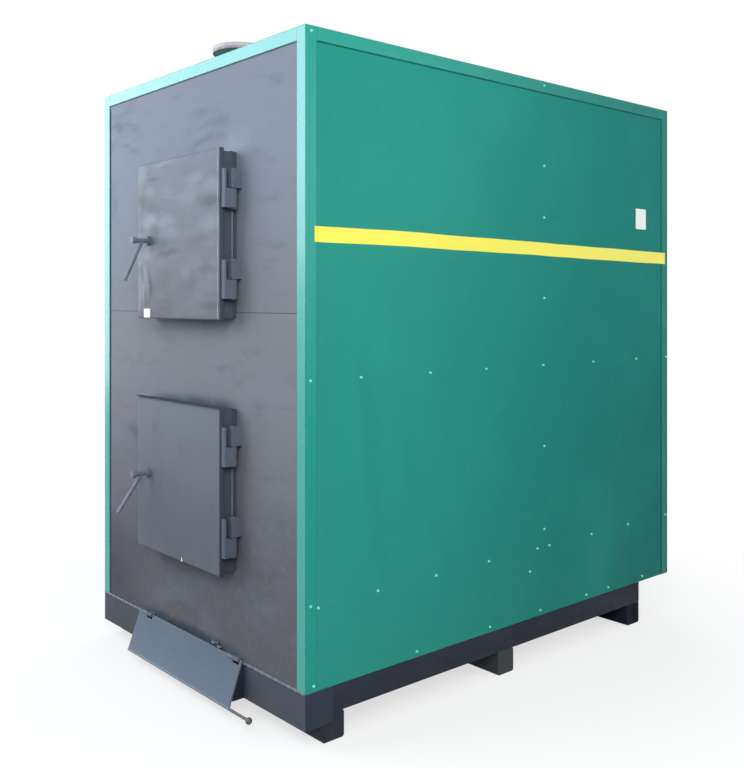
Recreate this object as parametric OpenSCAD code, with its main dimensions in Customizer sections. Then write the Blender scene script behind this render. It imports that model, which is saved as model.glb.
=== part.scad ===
// Hand-fired hot-water boiler: a sheet casing over water-jacket walls on a steel skid base,
// with two hinged fire doors, their latches and an air flap. Millimetres, floor at z = 0, front at -Y.

/* [Casing] */
// Width of the casing over its corner trims
casing_width = 1280; // [1240:10:1500]
// Length of the casing from front to rear
casing_length = 1860; // [1800:10:2300]
// Height of the casing above the base
casing_height = 1900; // [1860:10:2300]
// Thickness of the side, rear and roof sheets
sheet = 2; // [1:0.5:4]
// Leaf width of the corner and top trims
trim_leaf = 40; // [25:1:60]
// Thickness of the trims
trim_thickness = 2; // [1:0.5:4]
// Thickness of the two front plates
front_thickness = 8; // [5:1:12]
// Distance of the seam between the front plates below the upper door's hole
seam_drop = 17; // [5:1:40]
// Open joint in that seam
seam_gap = 1; // [0.5:0.5:3]

/* [Base] */
// Height and width of the square tubes used as runners
runner_size = 80; // [60:5:120]
// Corner radius of the runner tubes
runner_radius = 8; // [4:1:12]
// Distance of the front runner behind the casing's front
front_runner_setback = 66; // [20:2:110]
// Distance of the middle runner behind the casing's front
middle_runner_setback = 822; // [700:2:950]
// Distance of the rear runner inside the base's rear end
rear_runner_inset = 1; // [0:1:80]
// Height of the side and rear channel beams
beam_height = 80; // [65:5:120]
// Flange width of the channel beams
beam_flange = 45; // [40:1:60]
// Thickness of the channel beams
beam_thickness = 6; // [4:1:9]
// Length by which the casing overhangs the base at the rear
rear_overhang = 196; // [100:2:240]
// Height of the front apron plate
apron_height = 105; // [100:1:120]
// Thickness of the apron plate
apron_thickness = 6; // [4:1:8]
// Length of the apron's returns along the sides
apron_return = 100; // [60:2:160]
// Thickness of the ash floor plate
floor_thickness = 6; // [4:1:10]

/* [Water jacket] */
// Thickness of the water-filled walls
jacket_thickness = 90; // [70:2:100]
// Room for insulation between the side sheets and the jacket walls
insulation = 30; // [20:1:36]
// Distance of the shelf between furnace and upper chamber below the front plates' seam
shelf_drop = 110; // [60:5:160]
// Thickness of that shelf
shelf_thickness = 80; // [50:2:100]
// Gas passage left between the shelf and the rear wall
shelf_passage = 300; // [200:10:400]
// Room for insulation between the crown and the roof sheet
crown_room = 96; // [60:2:110]
// Height of the grate's top above the base
grate_height = 240; // [200:5:250]
// Width of one grate bar
grate_bar = 34; // [24:1:44]
// Air slot between grate bars
grate_slot = 26; // [15:1:36]
// Depth of a grate bar
grate_depth = 40; // [30:1:50]
// Depth of the flats that carry the grate
bearer_depth = 50; // [30:1:60]
// Thickness of the flats that carry the grate
bearer_thickness = 16; // [10:1:24]

/* [Doors] */
// Width of a door leaf
door_width = 541; // [500:1:560]
// Height of the upper door leaf
upper_door_height = 531; // [480:1:560]
// Height of the lower door leaf
lower_door_height = 520; // [480:1:540]
// Height of the upper door's foot above the base
upper_door_foot = 1057; // [1040:1:1075]
// Height of the lower door's foot above the base
lower_door_foot = 268; // [250:1:290]
// Distance of the doors' middle to the right of the casing's middle
door_offset = 20; // [-30:1:40]
// Depth of a door leaf's tray
leaf_depth = 10; // [8:1:12]
// Plate thickness of a door leaf
leaf_plate = 5; // [3:1:6]
// Gap for the sealing rope behind a door leaf
seal_gap = 5; // [5:0.5:8]
// Reach of the door frame's box in front of the front plate's trims
frame_reach = 45; // [44:0.5:46]
// Wall thickness of the door frame's neck through the front plate
neck_wall = 10; // [6:1:14]
// Distance of the frame's box inside the leaf's outline
frame_inset = 9; // [8:1:16]
// Border from the leaf's outline to the clear opening
opening_border = 50; // [46:1:60]
// Gap around the door lining in the opening
lining_gap = 15; // [12:1:20]

/* [Hinges] */
// Height of one hinge block
hinge_height = 120; // [90:2:140]
// Distance between the two hinge blocks of a door
hinge_spacing = 280; // [240:2:320]
// Distance of the hinge pin beyond the leaf's edge
hinge_offset = 10; // [9:0.5:14]
// Distance of the hinge pin in front of the trims' face
hinge_reach = 23; // [20:0.5:24]
// Half width of the hinge knuckles
knuckle_radius = 13; // [10:0.5:14]
// Radius of the hinge pins
pin_radius = 6; // [4:0.5:8]
// Reach of the hinge arm beyond the pin
arm_reach = 10; // [4:0.5:10]
// Thickness of the strap in front of a fixed knuckle
strap_thickness = 8; // [5:0.5:10]
// Gap between the two knuckles of a hinge block
knuckle_gap = 2; // [1:0.5:4]

/* [Latches] */
// Distance of the latch spindle from the leaf's free edge
latch_inset = 82; // [75:1:110]
// Radius of the latch spindle
spindle_radius = 8; // [6:0.5:10]
// Reach of the spindle in front of the leaf
spindle_reach = 66; // [56:1:90]
// Distance of the lever's root in front of the leaf
lever_root = 28; // [24:1:40]
// Length of the lever bar
lever_length = 150; // [120:1:180]
// Radius of the lever bar
lever_radius = 6.5; // [4:0.5:8]
// Outward slant of the upper lever bar in degrees
upper_lever_slant = 25; // [0:1:40]
// Outward slant of the lower lever bar in degrees
lower_lever_slant = 36; // [0:1:40]
// Length of the latch tongue from the spindle's middle
tongue_length = 70; // [60:1:90]
// Width of the latch tongue
tongue_width = 30; // [22:1:40]
// Thickness of the latch tongue
tongue_thickness = 10; // [6:1:14]

/* [Air flap] */
// Width of the flap
flap_width = 660; // [560:2:760]
// Length of the flap from its pin to its lower edge
flap_length = 139; // [130:1:142]
// Thickness of the flap plate
flap_thickness = 5; // [3:0.5:6]
// Slant of the closed flap in degrees from upright
flap_slant = 20; // [16:1:24]
// Gap between the flap's lugs and the apron's upper edge
flap_lug_gap = 0.5; // [0.5:0.5:4]
// Distance of the flap's pin in front of the trims' face
flap_pin_reach = 9; // [8.5:0.5:12]
// Radius of the flap's knuckles
flap_knuckle_radius = 7; // [5.5:0.25:7]
// Radius of the flap's pins and its lifting rod
flap_rod_radius = 4; // [2.5:0.25:4]
// Length of one flap knuckle
flap_knuckle = 30; // [20:1:45]
// Reach of the lifting rod beyond the flap
flap_rod_reach = 108; // [60:1:140]
// Radius of the ball on the lifting rod
flap_ball_radius = 10; // [6:0.5:12]
// Plate thickness of the air duct
duct_plate = 4; // [3:0.5:6]
// Distance of the duct's cheeks inside the flap's ends
duct_inset = 6; // [4:1:20]

/* [Pipe stubs] */
// Outer radius of the water pipes
pipe_radius = 44.5; // [30:0.5:57]
// Wall thickness of the water pipes
pipe_wall = 4; // [3:0.5:6]
// Radius of the pipe flanges
pipe_flange_radius = 97.5; // [90:0.5:110]
// Thickness of the pipe flanges
pipe_flange_thickness = 20; // [14:1:26]
// Radius of the bolt circle of the pipe flanges
bolt_circle_radius = 80; // [74:0.5:85]
// Radius of the bolt holes in the pipe flanges
bolt_hole_radius = 9; // [6:0.5:9]
// Height of the supply flange's upper face above the roof
supply_rise = 92; // [60:1:140]
// Distance of the supply pipe behind the casing's front
supply_setback = 203; // [150:1:400]
// Reach of the return flange behind the casing
return_reach = 92; // [60:1:140]
// Height of the return pipe above the base
return_height = 330; // [200:5:500]
// Distance of the return pipe's middle from the left water wall
return_inset = 216; // [120:2:400]
// Outer radius of the flue duct
flue_radius = 130; // [100:1:140]
// Wall thickness of the flue duct
flue_wall = 4; // [3:0.5:6]
// Width of the flue's flange ring
flue_flange_width = 34; // [24:1:45]
// Radius of the bolt holes in the flue's flange
flue_bolt_radius = 5.5; // [4:0.5:7]
// Thickness of the flue's flange ring
flue_flange_thickness = 8; // [5:1:12]
// Reach of the flue duct behind the casing
flue_reach = 92; // [60:1:160]
// Height of the flue's middle above the base
flue_height = 1480; // [1450:5:1520]

/* [Hidden] */
$fn = 48;
// Overrun of every cut past the faces it opens
cut = 1;
// Gap between a round piece and the hole it sits in
fit = 0.3;
base_height = runner_size + beam_height;
half_width = casing_width / 2;
top_z = base_height + casing_height;
// The origin lies under the middle of the middle runner
front_face = -middle_runner_setback - runner_size / 2;
rear_face = front_face + casing_length;
casing_middle = (front_face + rear_face) / 2;
front_outer = front_face + trim_thickness;
front_inner = front_outer + front_thickness;
side_inner = half_width - trim_thickness - sheet;
rear_inner = rear_face - trim_thickness - sheet;
sheet_top = top_z - trim_thickness - sheet;
beam_outer = half_width - apron_thickness;
beam_inner = beam_outer - beam_flange;
base_rear = rear_face - rear_overhang;
jacket_outer = side_inner - insulation;
jacket_inner = jacket_outer - jacket_thickness;
jacket_rear_front = base_rear - jacket_thickness;
crown_top = sheet_top - crown_room;
crown_foot = crown_top - jacket_thickness;
floor_top = runner_size + floor_thickness;
grate_top = base_height + grate_height;
grate_foot = grate_top - grate_depth;
grate_pitch = grate_bar + grate_slot;
grate_count = floor((2 * jacket_inner - grate_slot) / grate_pitch);
grate_span = grate_count * grate_pitch - grate_slot;
grate_length = jacket_rear_front - front_inner - grate_slot;
// Places of the grate's bearers along its length
bearer_shares = [0.06, 0.5, 0.94];

upper_door = [upper_door_height, base_height + upper_door_foot, upper_lever_slant];
lower_door = [lower_door_height, base_height + lower_door_foot, lower_lever_slant];
neck_border = opening_border - neck_wall;
seam_z = upper_door[1] + neck_border - seam_drop;
door_left = door_offset - door_width / 2;
door_right = door_offset + door_width / 2;
leaf_back = frame_reach + seal_gap;
leaf_front = leaf_back + leaf_depth;
hinge_x = door_right + hinge_offset;
hinge_y = front_face - hinge_reach;
hinge_head = pin_radius / 2;
latch_x = door_left + latch_inset;
tongue_front = trim_thickness + front_thickness + tongue_thickness / 2;
boss_radius = 2 * spindle_radius;
boss_reach = 1.5 * spindle_radius;
nut_size = 1.6 * spindle_radius;
nut_length = 1.8 * spindle_radius;
spindle_gap = 0.5;

flap_pin_y = front_face - flap_pin_reach;
flap_pin_height = flap_knuckle_radius + flap_lug_gap;
flap_pin_z = base_height + flap_pin_height;
flap_gap = 5;
flap_top = flap_knuckle_radius + flap_gap;
flap_lip = flap_rod_radius;
flap_half = flap_width / 2;
// Places of the flap's hinges from its middle
flap_hinge_shares = [-0.82, 0.86];
duct_half = flap_half - duct_inset;
duct_foot = base_height - apron_height;
air_top = base_height - apron_thickness;
duct_setoff = (flap_thickness / 2 + flap_gap) / cos(flap_slant);
duct_top_reach = flap_pin_reach + flap_pin_height * tan(flap_slant) - duct_setoff;
duct_foot_reach = duct_top_reach + apron_height * tan(flap_slant);

supply_y = front_face + supply_setback;
flange_top = top_z + supply_rise;
return_z = base_height + return_height;
return_x = return_inset - jacket_inner;
return_end = rear_face + return_reach;
flue_z = base_height + flue_height;
flue_end = rear_face + flue_reach;

GREEN = [0.09, 0.42, 0.36];
GREY = [0.24, 0.25, 0.27];
NAVY = [0.08, 0.09, 0.12];
SLATE = [0.30, 0.35, 0.40];
STEEL = [0.55, 0.55, 0.56];
IRON = [0.20, 0.17, 0.15];

// Box between two corners
module span(low, high) {
    translate(low)
        cube(high - low);
}

// Cylinder along Y from one place to another
module along_y(radius, from, to) {
    translate([0, from, 0])
        rotate([-90, 0, 0])
            cylinder(r = radius, h = to - from);
}

// Ring-shaped flange with its holes, lying on z = 0
module bolted_ring(outer, inner, thickness, circle_radius, hole_radius, count) {
    difference() {
        cylinder(r = outer, h = thickness);
        translate([0, 0, -cut])
            cylinder(r = inner, h = thickness + 2 * cut);
        for (i = [0 : count - 1])
            rotate(360 / count * (i + 1 / 2))
                translate([circle_radius, 0, -cut])
                    cylinder(r = hole_radius, h = thickness + 2 * cut);
    }
}

// Tube standing on z = 0
module tube(radius, wall, length) {
    difference() {
        cylinder(r = radius, h = length);
        translate([0, 0, -cut])
            cylinder(r = radius - wall, h = length + 2 * cut);
    }
}

// Flange that slips over the end of a water pipe, with its outer face on z = 0
module pipe_flange() {
    translate([0, 0, -pipe_flange_thickness])
        bolted_ring(pipe_flange_radius, pipe_radius + fit, pipe_flange_thickness,
            bolt_circle_radius, bolt_hole_radius, 4);
}

module front_apron() {
    color(GREY)
        difference() {
            span([-half_width, front_face, duct_foot],
                [half_width, front_face + apron_return, base_height]);
            span([-beam_outer, front_face + apron_thickness, duct_foot - cut],
                [beam_outer, front_face + apron_return + cut, base_height + cut]);
            span([-duct_half, front_face - cut, floor_top],
                [duct_half, front_face + apron_thickness + cut, air_top]);
        }
}

// Channel section with its web at x = 0 and its flanges towards -X
module channel_section() {
    difference() {
        translate([-beam_flange, 0])
            square([beam_flange, beam_height]);
        translate([-beam_flange - cut, beam_thickness])
            square([beam_flange + cut - beam_thickness, beam_height - 2 * beam_thickness]);
    }
}

module side_beam_right() {
    color(NAVY)
        translate([beam_outer, base_rear, runner_size])
            rotate([90, 0, 0])
                linear_extrude(base_rear - front_face - apron_thickness)
                    channel_section();
}

module side_beam_left() {
    mirror([1, 0, 0])
        side_beam_right();
}

module rear_beam() {
    color(NAVY)
        translate([-beam_inner, base_rear, runner_size])
            rotate([90, 0, 90])
                linear_extrude(2 * beam_inner)
                    channel_section();
}

// Square tube across the base, closed at its ends
module runner(setback) {
    color(NAVY)
        translate([-beam_outer, front_face + setback, 0])
            rotate([90, 0, 90])
                linear_extrude(2 * beam_outer)
                    runner_section();
}

module runner_section() {
    span_in = runner_size - 2 * runner_radius;
    translate([runner_radius, 0])
        square([span_in, runner_size]);
    translate([0, runner_radius])
        square([runner_size, span_in]);
    corners = [runner_radius, runner_size - runner_radius];
    for (x = corners, y = corners)
        translate([x, y])
            circle(r = runner_radius);
}

module runner_front() {
    runner(front_runner_setback);
}

module runner_middle() {
    runner(middle_runner_setback);
}

module runner_rear() {
    runner(base_rear - front_face - runner_size - rear_runner_inset);
}

module ash_floor() {
    color(IRON)
        span([-beam_inner, front_face + apron_thickness, runner_size],
            [beam_inner, base_rear - beam_flange, floor_top]);
}

// Hole for a door frame's neck through the front
module neck_hole(door) {
    span([door_left + neck_border, front_outer - cut, door[1] + neck_border],
        [door_right - neck_border, front_inner + cut, door[1] + door[0] - neck_border]);
}

module front_plate_lower() {
    color(GREY)
        difference() {
            span([-side_inner, front_outer, base_height], [side_inner, front_inner, seam_z - seam_gap]);
            neck_hole(lower_door);
        }
}

module front_plate_upper() {
    color(GREY)
        difference() {
            span([-side_inner, front_outer, seam_z], [side_inner, front_inner, sheet_top]);
            neck_hole(upper_door);
        }
}

module side_panel_right() {
    color(GREEN)
        span([side_inner, front_outer, base_height], [side_inner + sheet, rear_inner + sheet, sheet_top]);
}

module side_panel_left() {
    mirror([1, 0, 0])
        side_panel_right();
}

module rear_panel() {
    color(GREEN)
        difference() {
            span([-side_inner, rear_inner, base_height], [side_inner, rear_inner + sheet, sheet_top]);
            translate([return_x, 0, return_z])
                along_y(pipe_radius + fit, rear_inner - cut, rear_inner + sheet + cut);
            translate([0, 0, flue_z])
                along_y(flue_radius + fit, rear_inner - cut, rear_inner + sheet + cut);
        }
}

// Sheet under the part of the casing that overhangs the base
module rear_soffit() {
    color(GREEN)
        span([-side_inner, base_rear, base_height], [side_inner, rear_inner, base_height + sheet]);
}

module roof_panel() {
    color(GREEN)
        difference() {
            span([-side_inner - sheet, front_outer, sheet_top],
                [side_inner + sheet, rear_inner + sheet, sheet_top + sheet]);
            translate([0, supply_y, sheet_top - cut])
                cylinder(r = pipe_radius + fit, h = sheet + 2 * cut);
        }
}

// Angle section with its outer corner at the origin and its leaves towards -X and +Y
module angle_section() {
    translate([-trim_leaf, 0])
        square([trim_leaf, trim_thickness]);
    translate([-trim_thickness, 0])
        square([trim_thickness, trim_leaf]);
}

module corner_trim_front_right() {
    color(GREEN)
        translate([half_width, front_face, base_height])
            linear_extrude(casing_height)
                angle_section();
}

module corner_trim_front_left() {
    mirror([1, 0, 0])
        corner_trim_front_right();
}

module corner_trim_rear_right() {
    translate([0, front_face + rear_face, 0])
        mirror([0, 1, 0])
            corner_trim_front_right();
}

module corner_trim_rear_left() {
    mirror([1, 0, 0])
        corner_trim_rear_right();
}

// Angle along the upper edge at one side of the casing, which lies towards +X
module top_trim(reach, length) {
    translate([reach, length / 2 - trim_leaf, top_z])
        rotate([90, 0, 0])
            linear_extrude(length - 2 * trim_leaf)
                mirror([0, 1])
                    angle_section();
}

module top_trims() {
    color(GREEN)
        translate([0, casing_middle, 0])
            for (turn = [0, 180]) {
                rotate(turn)
                    top_trim(half_width, casing_length);
                rotate(turn + 90)
                    top_trim(casing_length / 2, casing_width);
            }
}

module jacket_right() {
    color(IRON)
        span([jacket_inner, front_inner, base_height], [jacket_outer, base_rear, crown_top]);
}

module jacket_left() {
    mirror([1, 0, 0])
        jacket_right();
}

module jacket_rear() {
    color(IRON)
        difference() {
            span([-jacket_inner, jacket_rear_front, base_height], [jacket_inner, base_rear, crown_foot]);
            translate([0, 0, flue_z])
                along_y(flue_radius + fit, jacket_rear_front - cut, base_rear + cut);
        }
}

module crown() {
    color(IRON)
        span([-jacket_inner, front_inner, crown_foot], [jacket_inner, base_rear, crown_top]);
}

module furnace_shelf() {
    shelf_top = seam_z - shelf_drop;
    color(IRON)
        span([-jacket_inner, front_inner, shelf_top - shelf_thickness],
            [jacket_inner, jacket_rear_front - shelf_passage, shelf_top]);
}

module grate() {
    color(IRON)
        for (i = [0 : grate_count - 1])
            translate([i * grate_pitch - grate_span / 2, front_inner + grate_slot / 2, grate_foot])
                cube([grate_bar, grate_length, grate_depth]);
}

module grate_bearers() {
    first = front_inner + grate_slot / 2 - bearer_thickness / 2;
    color(IRON)
        for (share = bearer_shares)
            translate([-jacket_inner, first + share * grate_length, grate_foot - bearer_depth])
                cube([2 * jacket_inner, bearer_thickness, bearer_depth]);
}

// Frame around a fire door's opening: a box on the front plate with a neck through it
module door_frame(door) {
    inner = opening_border;
    neck = neck_border;
    color(GREY)
        difference() {
            union() {
                span([door_left + neck, front_outer, door[1] + neck],
                    [door_right - neck, front_inner, door[1] + door[0] - neck]);
                span([door_left + frame_inset, front_face - frame_reach, door[1] + frame_inset],
                    [door_right - frame_inset, front_outer, door[1] + door[0] - frame_inset]);
            }
            span([door_left + inner, front_face - frame_reach - cut, door[1] + inner],
                [door_right - inner, front_inner + cut, door[1] + door[0] - inner]);
        }
}

// Door leaf as a shallow tray with a boss for the latch spindle
module door_leaf(door) {
    middle_z = door[1] + door[0] / 2;
    color(GREY)
        difference() {
            union() {
                span([door_left, front_face - leaf_front, door[1]],
                    [door_right, front_face - leaf_back, door[1] + door[0]]);
                translate([latch_x, 0, middle_z])
                    along_y(boss_radius, front_face - leaf_front - boss_reach, front_face - leaf_front);
            }
            span([door_left + leaf_plate, front_face - leaf_front + leaf_plate, door[1] + leaf_plate],
                [door_right - leaf_plate, front_face - leaf_back + cut, door[1] + door[0] - leaf_plate]);
            translate([latch_x, 0, middle_z])
                along_y(spindle_radius + spindle_gap, front_face - leaf_front - boss_reach - cut,
                    front_face - leaf_back + cut);
        }
}

// Insulating block on the back of a door leaf
module door_lining(door) {
    inset = opening_border + lining_gap;
    color(IRON)
        difference() {
            span([door_left + inset, front_face - leaf_front + leaf_plate, door[1] + inset],
                [door_right - inset, front_face, door[1] + door[0] - inset]);
            translate([latch_x, 0, door[1] + door[0] / 2])
                along_y(spindle_radius + spindle_gap, front_face - leaf_front, front_face + cut);
        }
}

// Middle heights of a door's two hinge blocks
function hinge_levels(door) = [for (side = [-1, 1]) door[1] + door[0] / 2 + side * hinge_spacing / 2];

// Fixed upper knuckles with their pins, standing on the front plate
module hinge_posts(door) {
    color(GREY)
        for (level = hinge_levels(door))
            translate([hinge_x, hinge_y, level]) {
                translate([0, 0, knuckle_gap / 2])
                    linear_extrude(hinge_height / 2 - knuckle_gap / 2)
                        translate([-knuckle_radius, -knuckle_radius])
                            square([2 * knuckle_radius, knuckle_radius + front_outer - hinge_y]);
                translate([0, 0, -hinge_height / 2 - hinge_head - knuckle_gap / 2])
                    cylinder(r = pin_radius, h = hinge_height / 2 + hinge_head + knuckle_gap);
                translate([0, 0, -hinge_height / 2 - hinge_head - fit])
                    cylinder(r = (pin_radius + knuckle_radius) / 2, h = hinge_head);
                translate([0, 0, hinge_height / 2])
                    cylinder(r = (pin_radius + knuckle_radius) / 2, h = hinge_head);
            }
}

// Lower knuckles on the door, with an arm to the leaf and a strap in front of the fixed knuckle
module hinge_arms(door) {
    depth = leaf_front - hinge_reach;
    color(GREY)
        for (level = hinge_levels(door))
            translate([hinge_x, hinge_y, level]) {
                difference() {
                    translate([0, 0, -hinge_height / 2])
                        linear_extrude(hinge_height / 2 - knuckle_gap / 2) {
                            circle(r = knuckle_radius);
                            translate([-knuckle_radius, -knuckle_radius])
                                square([2 * knuckle_radius, knuckle_radius]);
                            translate([-hinge_offset, -depth])
                                square([hinge_offset + arm_reach, depth]);
                        }
                    translate([0, 0, -hinge_height / 2 - cut])
                        cylinder(r = pin_radius + fit, h = hinge_height / 2 + 2 * cut);
                }
                span([-hinge_offset, -depth, -knuckle_gap / 2],
                    [arm_reach, strap_thickness - depth, hinge_height / 2]);
            }
}

// Spindle with its lever, nut and inner tongue
module latch(door) {
    root = front_face - leaf_front - lever_root;
    tip = front_face - leaf_front - spindle_reach;
    color(STEEL)
        translate([latch_x, 0, door[1] + door[0] / 2]) {
            along_y(spindle_radius, tip, front_face + tongue_front + tongue_thickness);
            translate([0, tip, 0])
                rotate([-90, 0, 0])
                    cylinder(r = nut_size, h = nut_length, $fn = 6);
            translate([0, root, 0])
                rotate([180 - door[2], 0, 0])
                    cylinder(r = lever_radius, h = lever_length);
            span([-tongue_width / 2, front_face + tongue_front, -tongue_length],
                [tongue_width / 2, front_face + tongue_front + tongue_thickness, tongue_width / 2]);
        }
}

module upper_door_frame() {
    door_frame(upper_door);
}

module upper_door_leaf() {
    door_leaf(upper_door);
}

module upper_door_lining() {
    door_lining(upper_door);
}

module upper_hinge_posts() {
    hinge_posts(upper_door);
}

module upper_hinge_arms() {
    hinge_arms(upper_door);
}

module upper_latch() {
    latch(upper_door);
}

module lower_door_frame() {
    door_frame(lower_door);
}

module lower_door_leaf() {
    door_leaf(lower_door);
}

module lower_door_lining() {
    door_lining(lower_door);
}

module lower_hinge_posts() {
    hinge_posts(lower_door);
}

module lower_hinge_arms() {
    hinge_arms(lower_door);
}

module lower_latch() {
    latch(lower_door);
}

// Wedge-shaped cheek of the air duct, lying in the YZ plane
module duct_cheek() {
    rotate([90, 0, 90])
        linear_extrude(duct_plate)
            polygon([
                [front_face, duct_foot],
                [front_face, base_height],
                [front_face - duct_top_reach, base_height],
                [front_face - duct_foot_reach, duct_foot]
            ]);
}

module air_duct() {
    color(NAVY) {
        translate([duct_half, 0, 0])
            duct_cheek();
        translate([-duct_half - duct_plate, 0, 0])
            duct_cheek();
        span([-duct_half, front_face - duct_foot_reach + duct_plate, duct_foot],
            [duct_half, front_face, duct_foot + duct_plate]);
    }
}

// Fixed knuckles of the flap with their pins
module flap_lugs() {
    color(SLATE)
        for (share = flap_hinge_shares)
            translate([share * flap_half, flap_pin_y, flap_pin_z])
                rotate([90, 0, 90]) {
                    linear_extrude(flap_knuckle) {
                        circle(r = flap_knuckle_radius);
                        translate([0, -flap_knuckle_radius])
                            square([front_outer - flap_pin_y, 2 * flap_knuckle_radius]);
                    }
                    translate([0, 0, -flap_knuckle - knuckle_gap])
                        cylinder(r = flap_rod_radius, h = flap_knuckle + knuckle_gap + cut);
                }
}

// Flap plate hanging from its pin, with knuckles, a rolled lower edge and the lifting rod
module air_flap() {
    color(SLATE)
        translate([0, flap_pin_y, flap_pin_z])
            rotate([-flap_slant, 0, 0]) {
                difference() {
                    span([-flap_half, -flap_thickness / 2, -flap_length],
                        [flap_half, flap_thickness / 2, flap_lip]);
                    for (share = flap_hinge_shares)
                        translate([share * flap_half, 0, 0])
                            span([-flap_knuckle - knuckle_gap, -flap_thickness, -flap_top],
                                [flap_knuckle + flap_gap, flap_thickness, flap_lip + cut]);
                }
                translate([-flap_half, 0, -flap_length])
                    rotate([0, 90, 0])
                        cylinder(r = flap_rod_radius, h = flap_width + flap_rod_reach);
                translate([flap_half + flap_rod_reach, 0, -flap_length])
                    sphere(r = flap_ball_radius);
                for (share = flap_hinge_shares)
                    translate([share * flap_half - flap_knuckle - knuckle_gap, 0, 0])
                        rotate([90, 0, 90])
                            difference() {
                                linear_extrude(flap_knuckle) {
                                    circle(r = flap_knuckle_radius);
                                    translate([-flap_thickness / 2, -flap_top - cut])
                                        square([flap_thickness, flap_top + cut]);
                                }
                                translate([0, 0, -cut])
                                    cylinder(r = flap_rod_radius + fit, h = flap_knuckle + 2 * cut);
                            }
            }
}

module supply_pipe() {
    color(NAVY)
        translate([0, supply_y, crown_top])
            tube(pipe_radius, pipe_wall, flange_top - crown_top);
}

module supply_flange() {
    color(NAVY)
        translate([0, supply_y, flange_top])
            pipe_flange();
}

module return_pipe() {
    color(NAVY)
        translate([return_x, base_rear, return_z])
            rotate([-90, 0, 0])
                tube(pipe_radius, pipe_wall, return_end - base_rear);
}

module return_flange() {
    color(NAVY)
        translate([return_x, return_end, return_z])
            rotate([-90, 0, 0])
                pipe_flange();
}

module flue_duct() {
    color(NAVY)
        translate([0, jacket_rear_front, flue_z])
            rotate([-90, 0, 0])
                tube(flue_radius, flue_wall, flue_end - jacket_rear_front);
}

module flue_flange() {
    color(NAVY)
        translate([0, flue_end - flue_flange_thickness, flue_z])
            rotate([-90, 0, 0])
                bolted_ring(flue_radius + flue_flange_width, flue_radius + fit, flue_flange_thickness,
                    flue_radius + flue_flange_width / 2, flue_bolt_radius, 8);
}

front_apron();
side_beam_left();
side_beam_right();
rear_beam();
runner_front();
runner_middle();
runner_rear();
ash_floor();
front_plate_lower();
front_plate_upper();
side_panel_left();
side_panel_right();
rear_panel();
rear_soffit();
roof_panel();
corner_trim_front_left();
corner_trim_front_right();
corner_trim_rear_left();
corner_trim_rear_right();
top_trims();
jacket_left();
jacket_right();
jacket_rear();
crown();
furnace_shelf();
grate();
grate_bearers();
upper_door_frame();
upper_door_leaf();
upper_door_lining();
upper_hinge_posts();
upper_hinge_arms();
upper_latch();
lower_door_frame();
lower_door_leaf();
lower_door_lining();
lower_hinge_posts();
lower_hinge_arms();
lower_latch();
air_duct();
flap_lugs();
air_flap();
supply_pipe();
supply_flange();
return_pipe();
return_flange();
flue_duct();
flue_flange();
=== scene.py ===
import math
import bmesh
import bpy
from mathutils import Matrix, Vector, noise


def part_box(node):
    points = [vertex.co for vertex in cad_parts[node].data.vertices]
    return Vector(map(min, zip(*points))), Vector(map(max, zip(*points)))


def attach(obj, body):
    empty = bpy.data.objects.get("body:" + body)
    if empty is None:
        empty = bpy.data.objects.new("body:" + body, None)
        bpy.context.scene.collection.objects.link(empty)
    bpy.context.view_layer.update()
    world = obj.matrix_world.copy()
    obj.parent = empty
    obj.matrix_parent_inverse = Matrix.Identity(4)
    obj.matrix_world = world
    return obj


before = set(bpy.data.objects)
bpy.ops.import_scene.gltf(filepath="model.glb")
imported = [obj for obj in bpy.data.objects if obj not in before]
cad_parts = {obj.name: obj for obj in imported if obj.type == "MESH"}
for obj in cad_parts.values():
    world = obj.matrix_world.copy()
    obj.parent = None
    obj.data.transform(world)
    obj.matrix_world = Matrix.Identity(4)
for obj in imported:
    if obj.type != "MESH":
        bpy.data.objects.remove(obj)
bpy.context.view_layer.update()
scene = bpy.context.scene
scene.view_settings.view_transform = "Standard"
print("frame loaded:", len(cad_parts), "nodes")

# level camera at eye height, set off to the right of the front
cameraSettings = {
    "place": (2.778, -2.471, 1.271),
    "turn": 49.0,
    "lens": 44.26,
    "riseShift": -0.106,
}


def makeCamera(settings):
    data = bpy.data.cameras.new("photoCamera")
    data.lens = settings["lens"]
    data.shift_y = settings["riseShift"]
    camera = bpy.data.objects.new("photoCamera", data)
    camera.location = settings["place"]
    camera.rotation_euler = (math.radians(90.0), 0.0, math.radians(settings["turn"]))
    scene.collection.objects.link(camera)
    scene.camera = camera


makeCamera(cameraSettings)


# screen colour, 0 to 255, as the linear colour a shader socket takes
def tone(red, green, blue):
    def toLinear(value):
        share = value / 255.0
        return share / 12.92 if share <= 0.04045 else ((share + 0.055) / 1.055) ** 2.4
    return (toLinear(red), toLinear(green), toLinear(blue), 1.0)


# soft start and end for a share from 0 to 1
def eased(share):
    return share * share * (3.0 - 2.0 * share)


def fillSockets(tree, node, inputs):
    for name, value in inputs.items():
        if isinstance(value, bpy.types.NodeSocket):
            tree.links.new(value, node.inputs[name])
        else:
            node.inputs[name].default_value = value
    return node


def addNode(tree, kind, inputs=None, **options):
    node = tree.nodes.new(kind)
    for name, value in options.items():
        setattr(node, name, value)
    return fillSockets(tree, node, inputs or {})


def mathNode(tree, operation, first, second=0.0, third=0.0):
    return addNode(tree, "ShaderNodeMath", {0: first, 1: second, 2: third}, operation=operation).outputs[0]


def vectorNode(tree, operation, *given):
    return addNode(tree, "ShaderNodeVectorMath", dict(enumerate(given)), operation=operation).outputs


def noiseNode(tree, point, scale, detail, roughness=0.5):
    inputs = {"Vector": point, "Scale": scale, "Detail": detail, "Roughness": roughness}
    return addNode(tree, "ShaderNodeTexNoise", inputs).outputs


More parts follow.
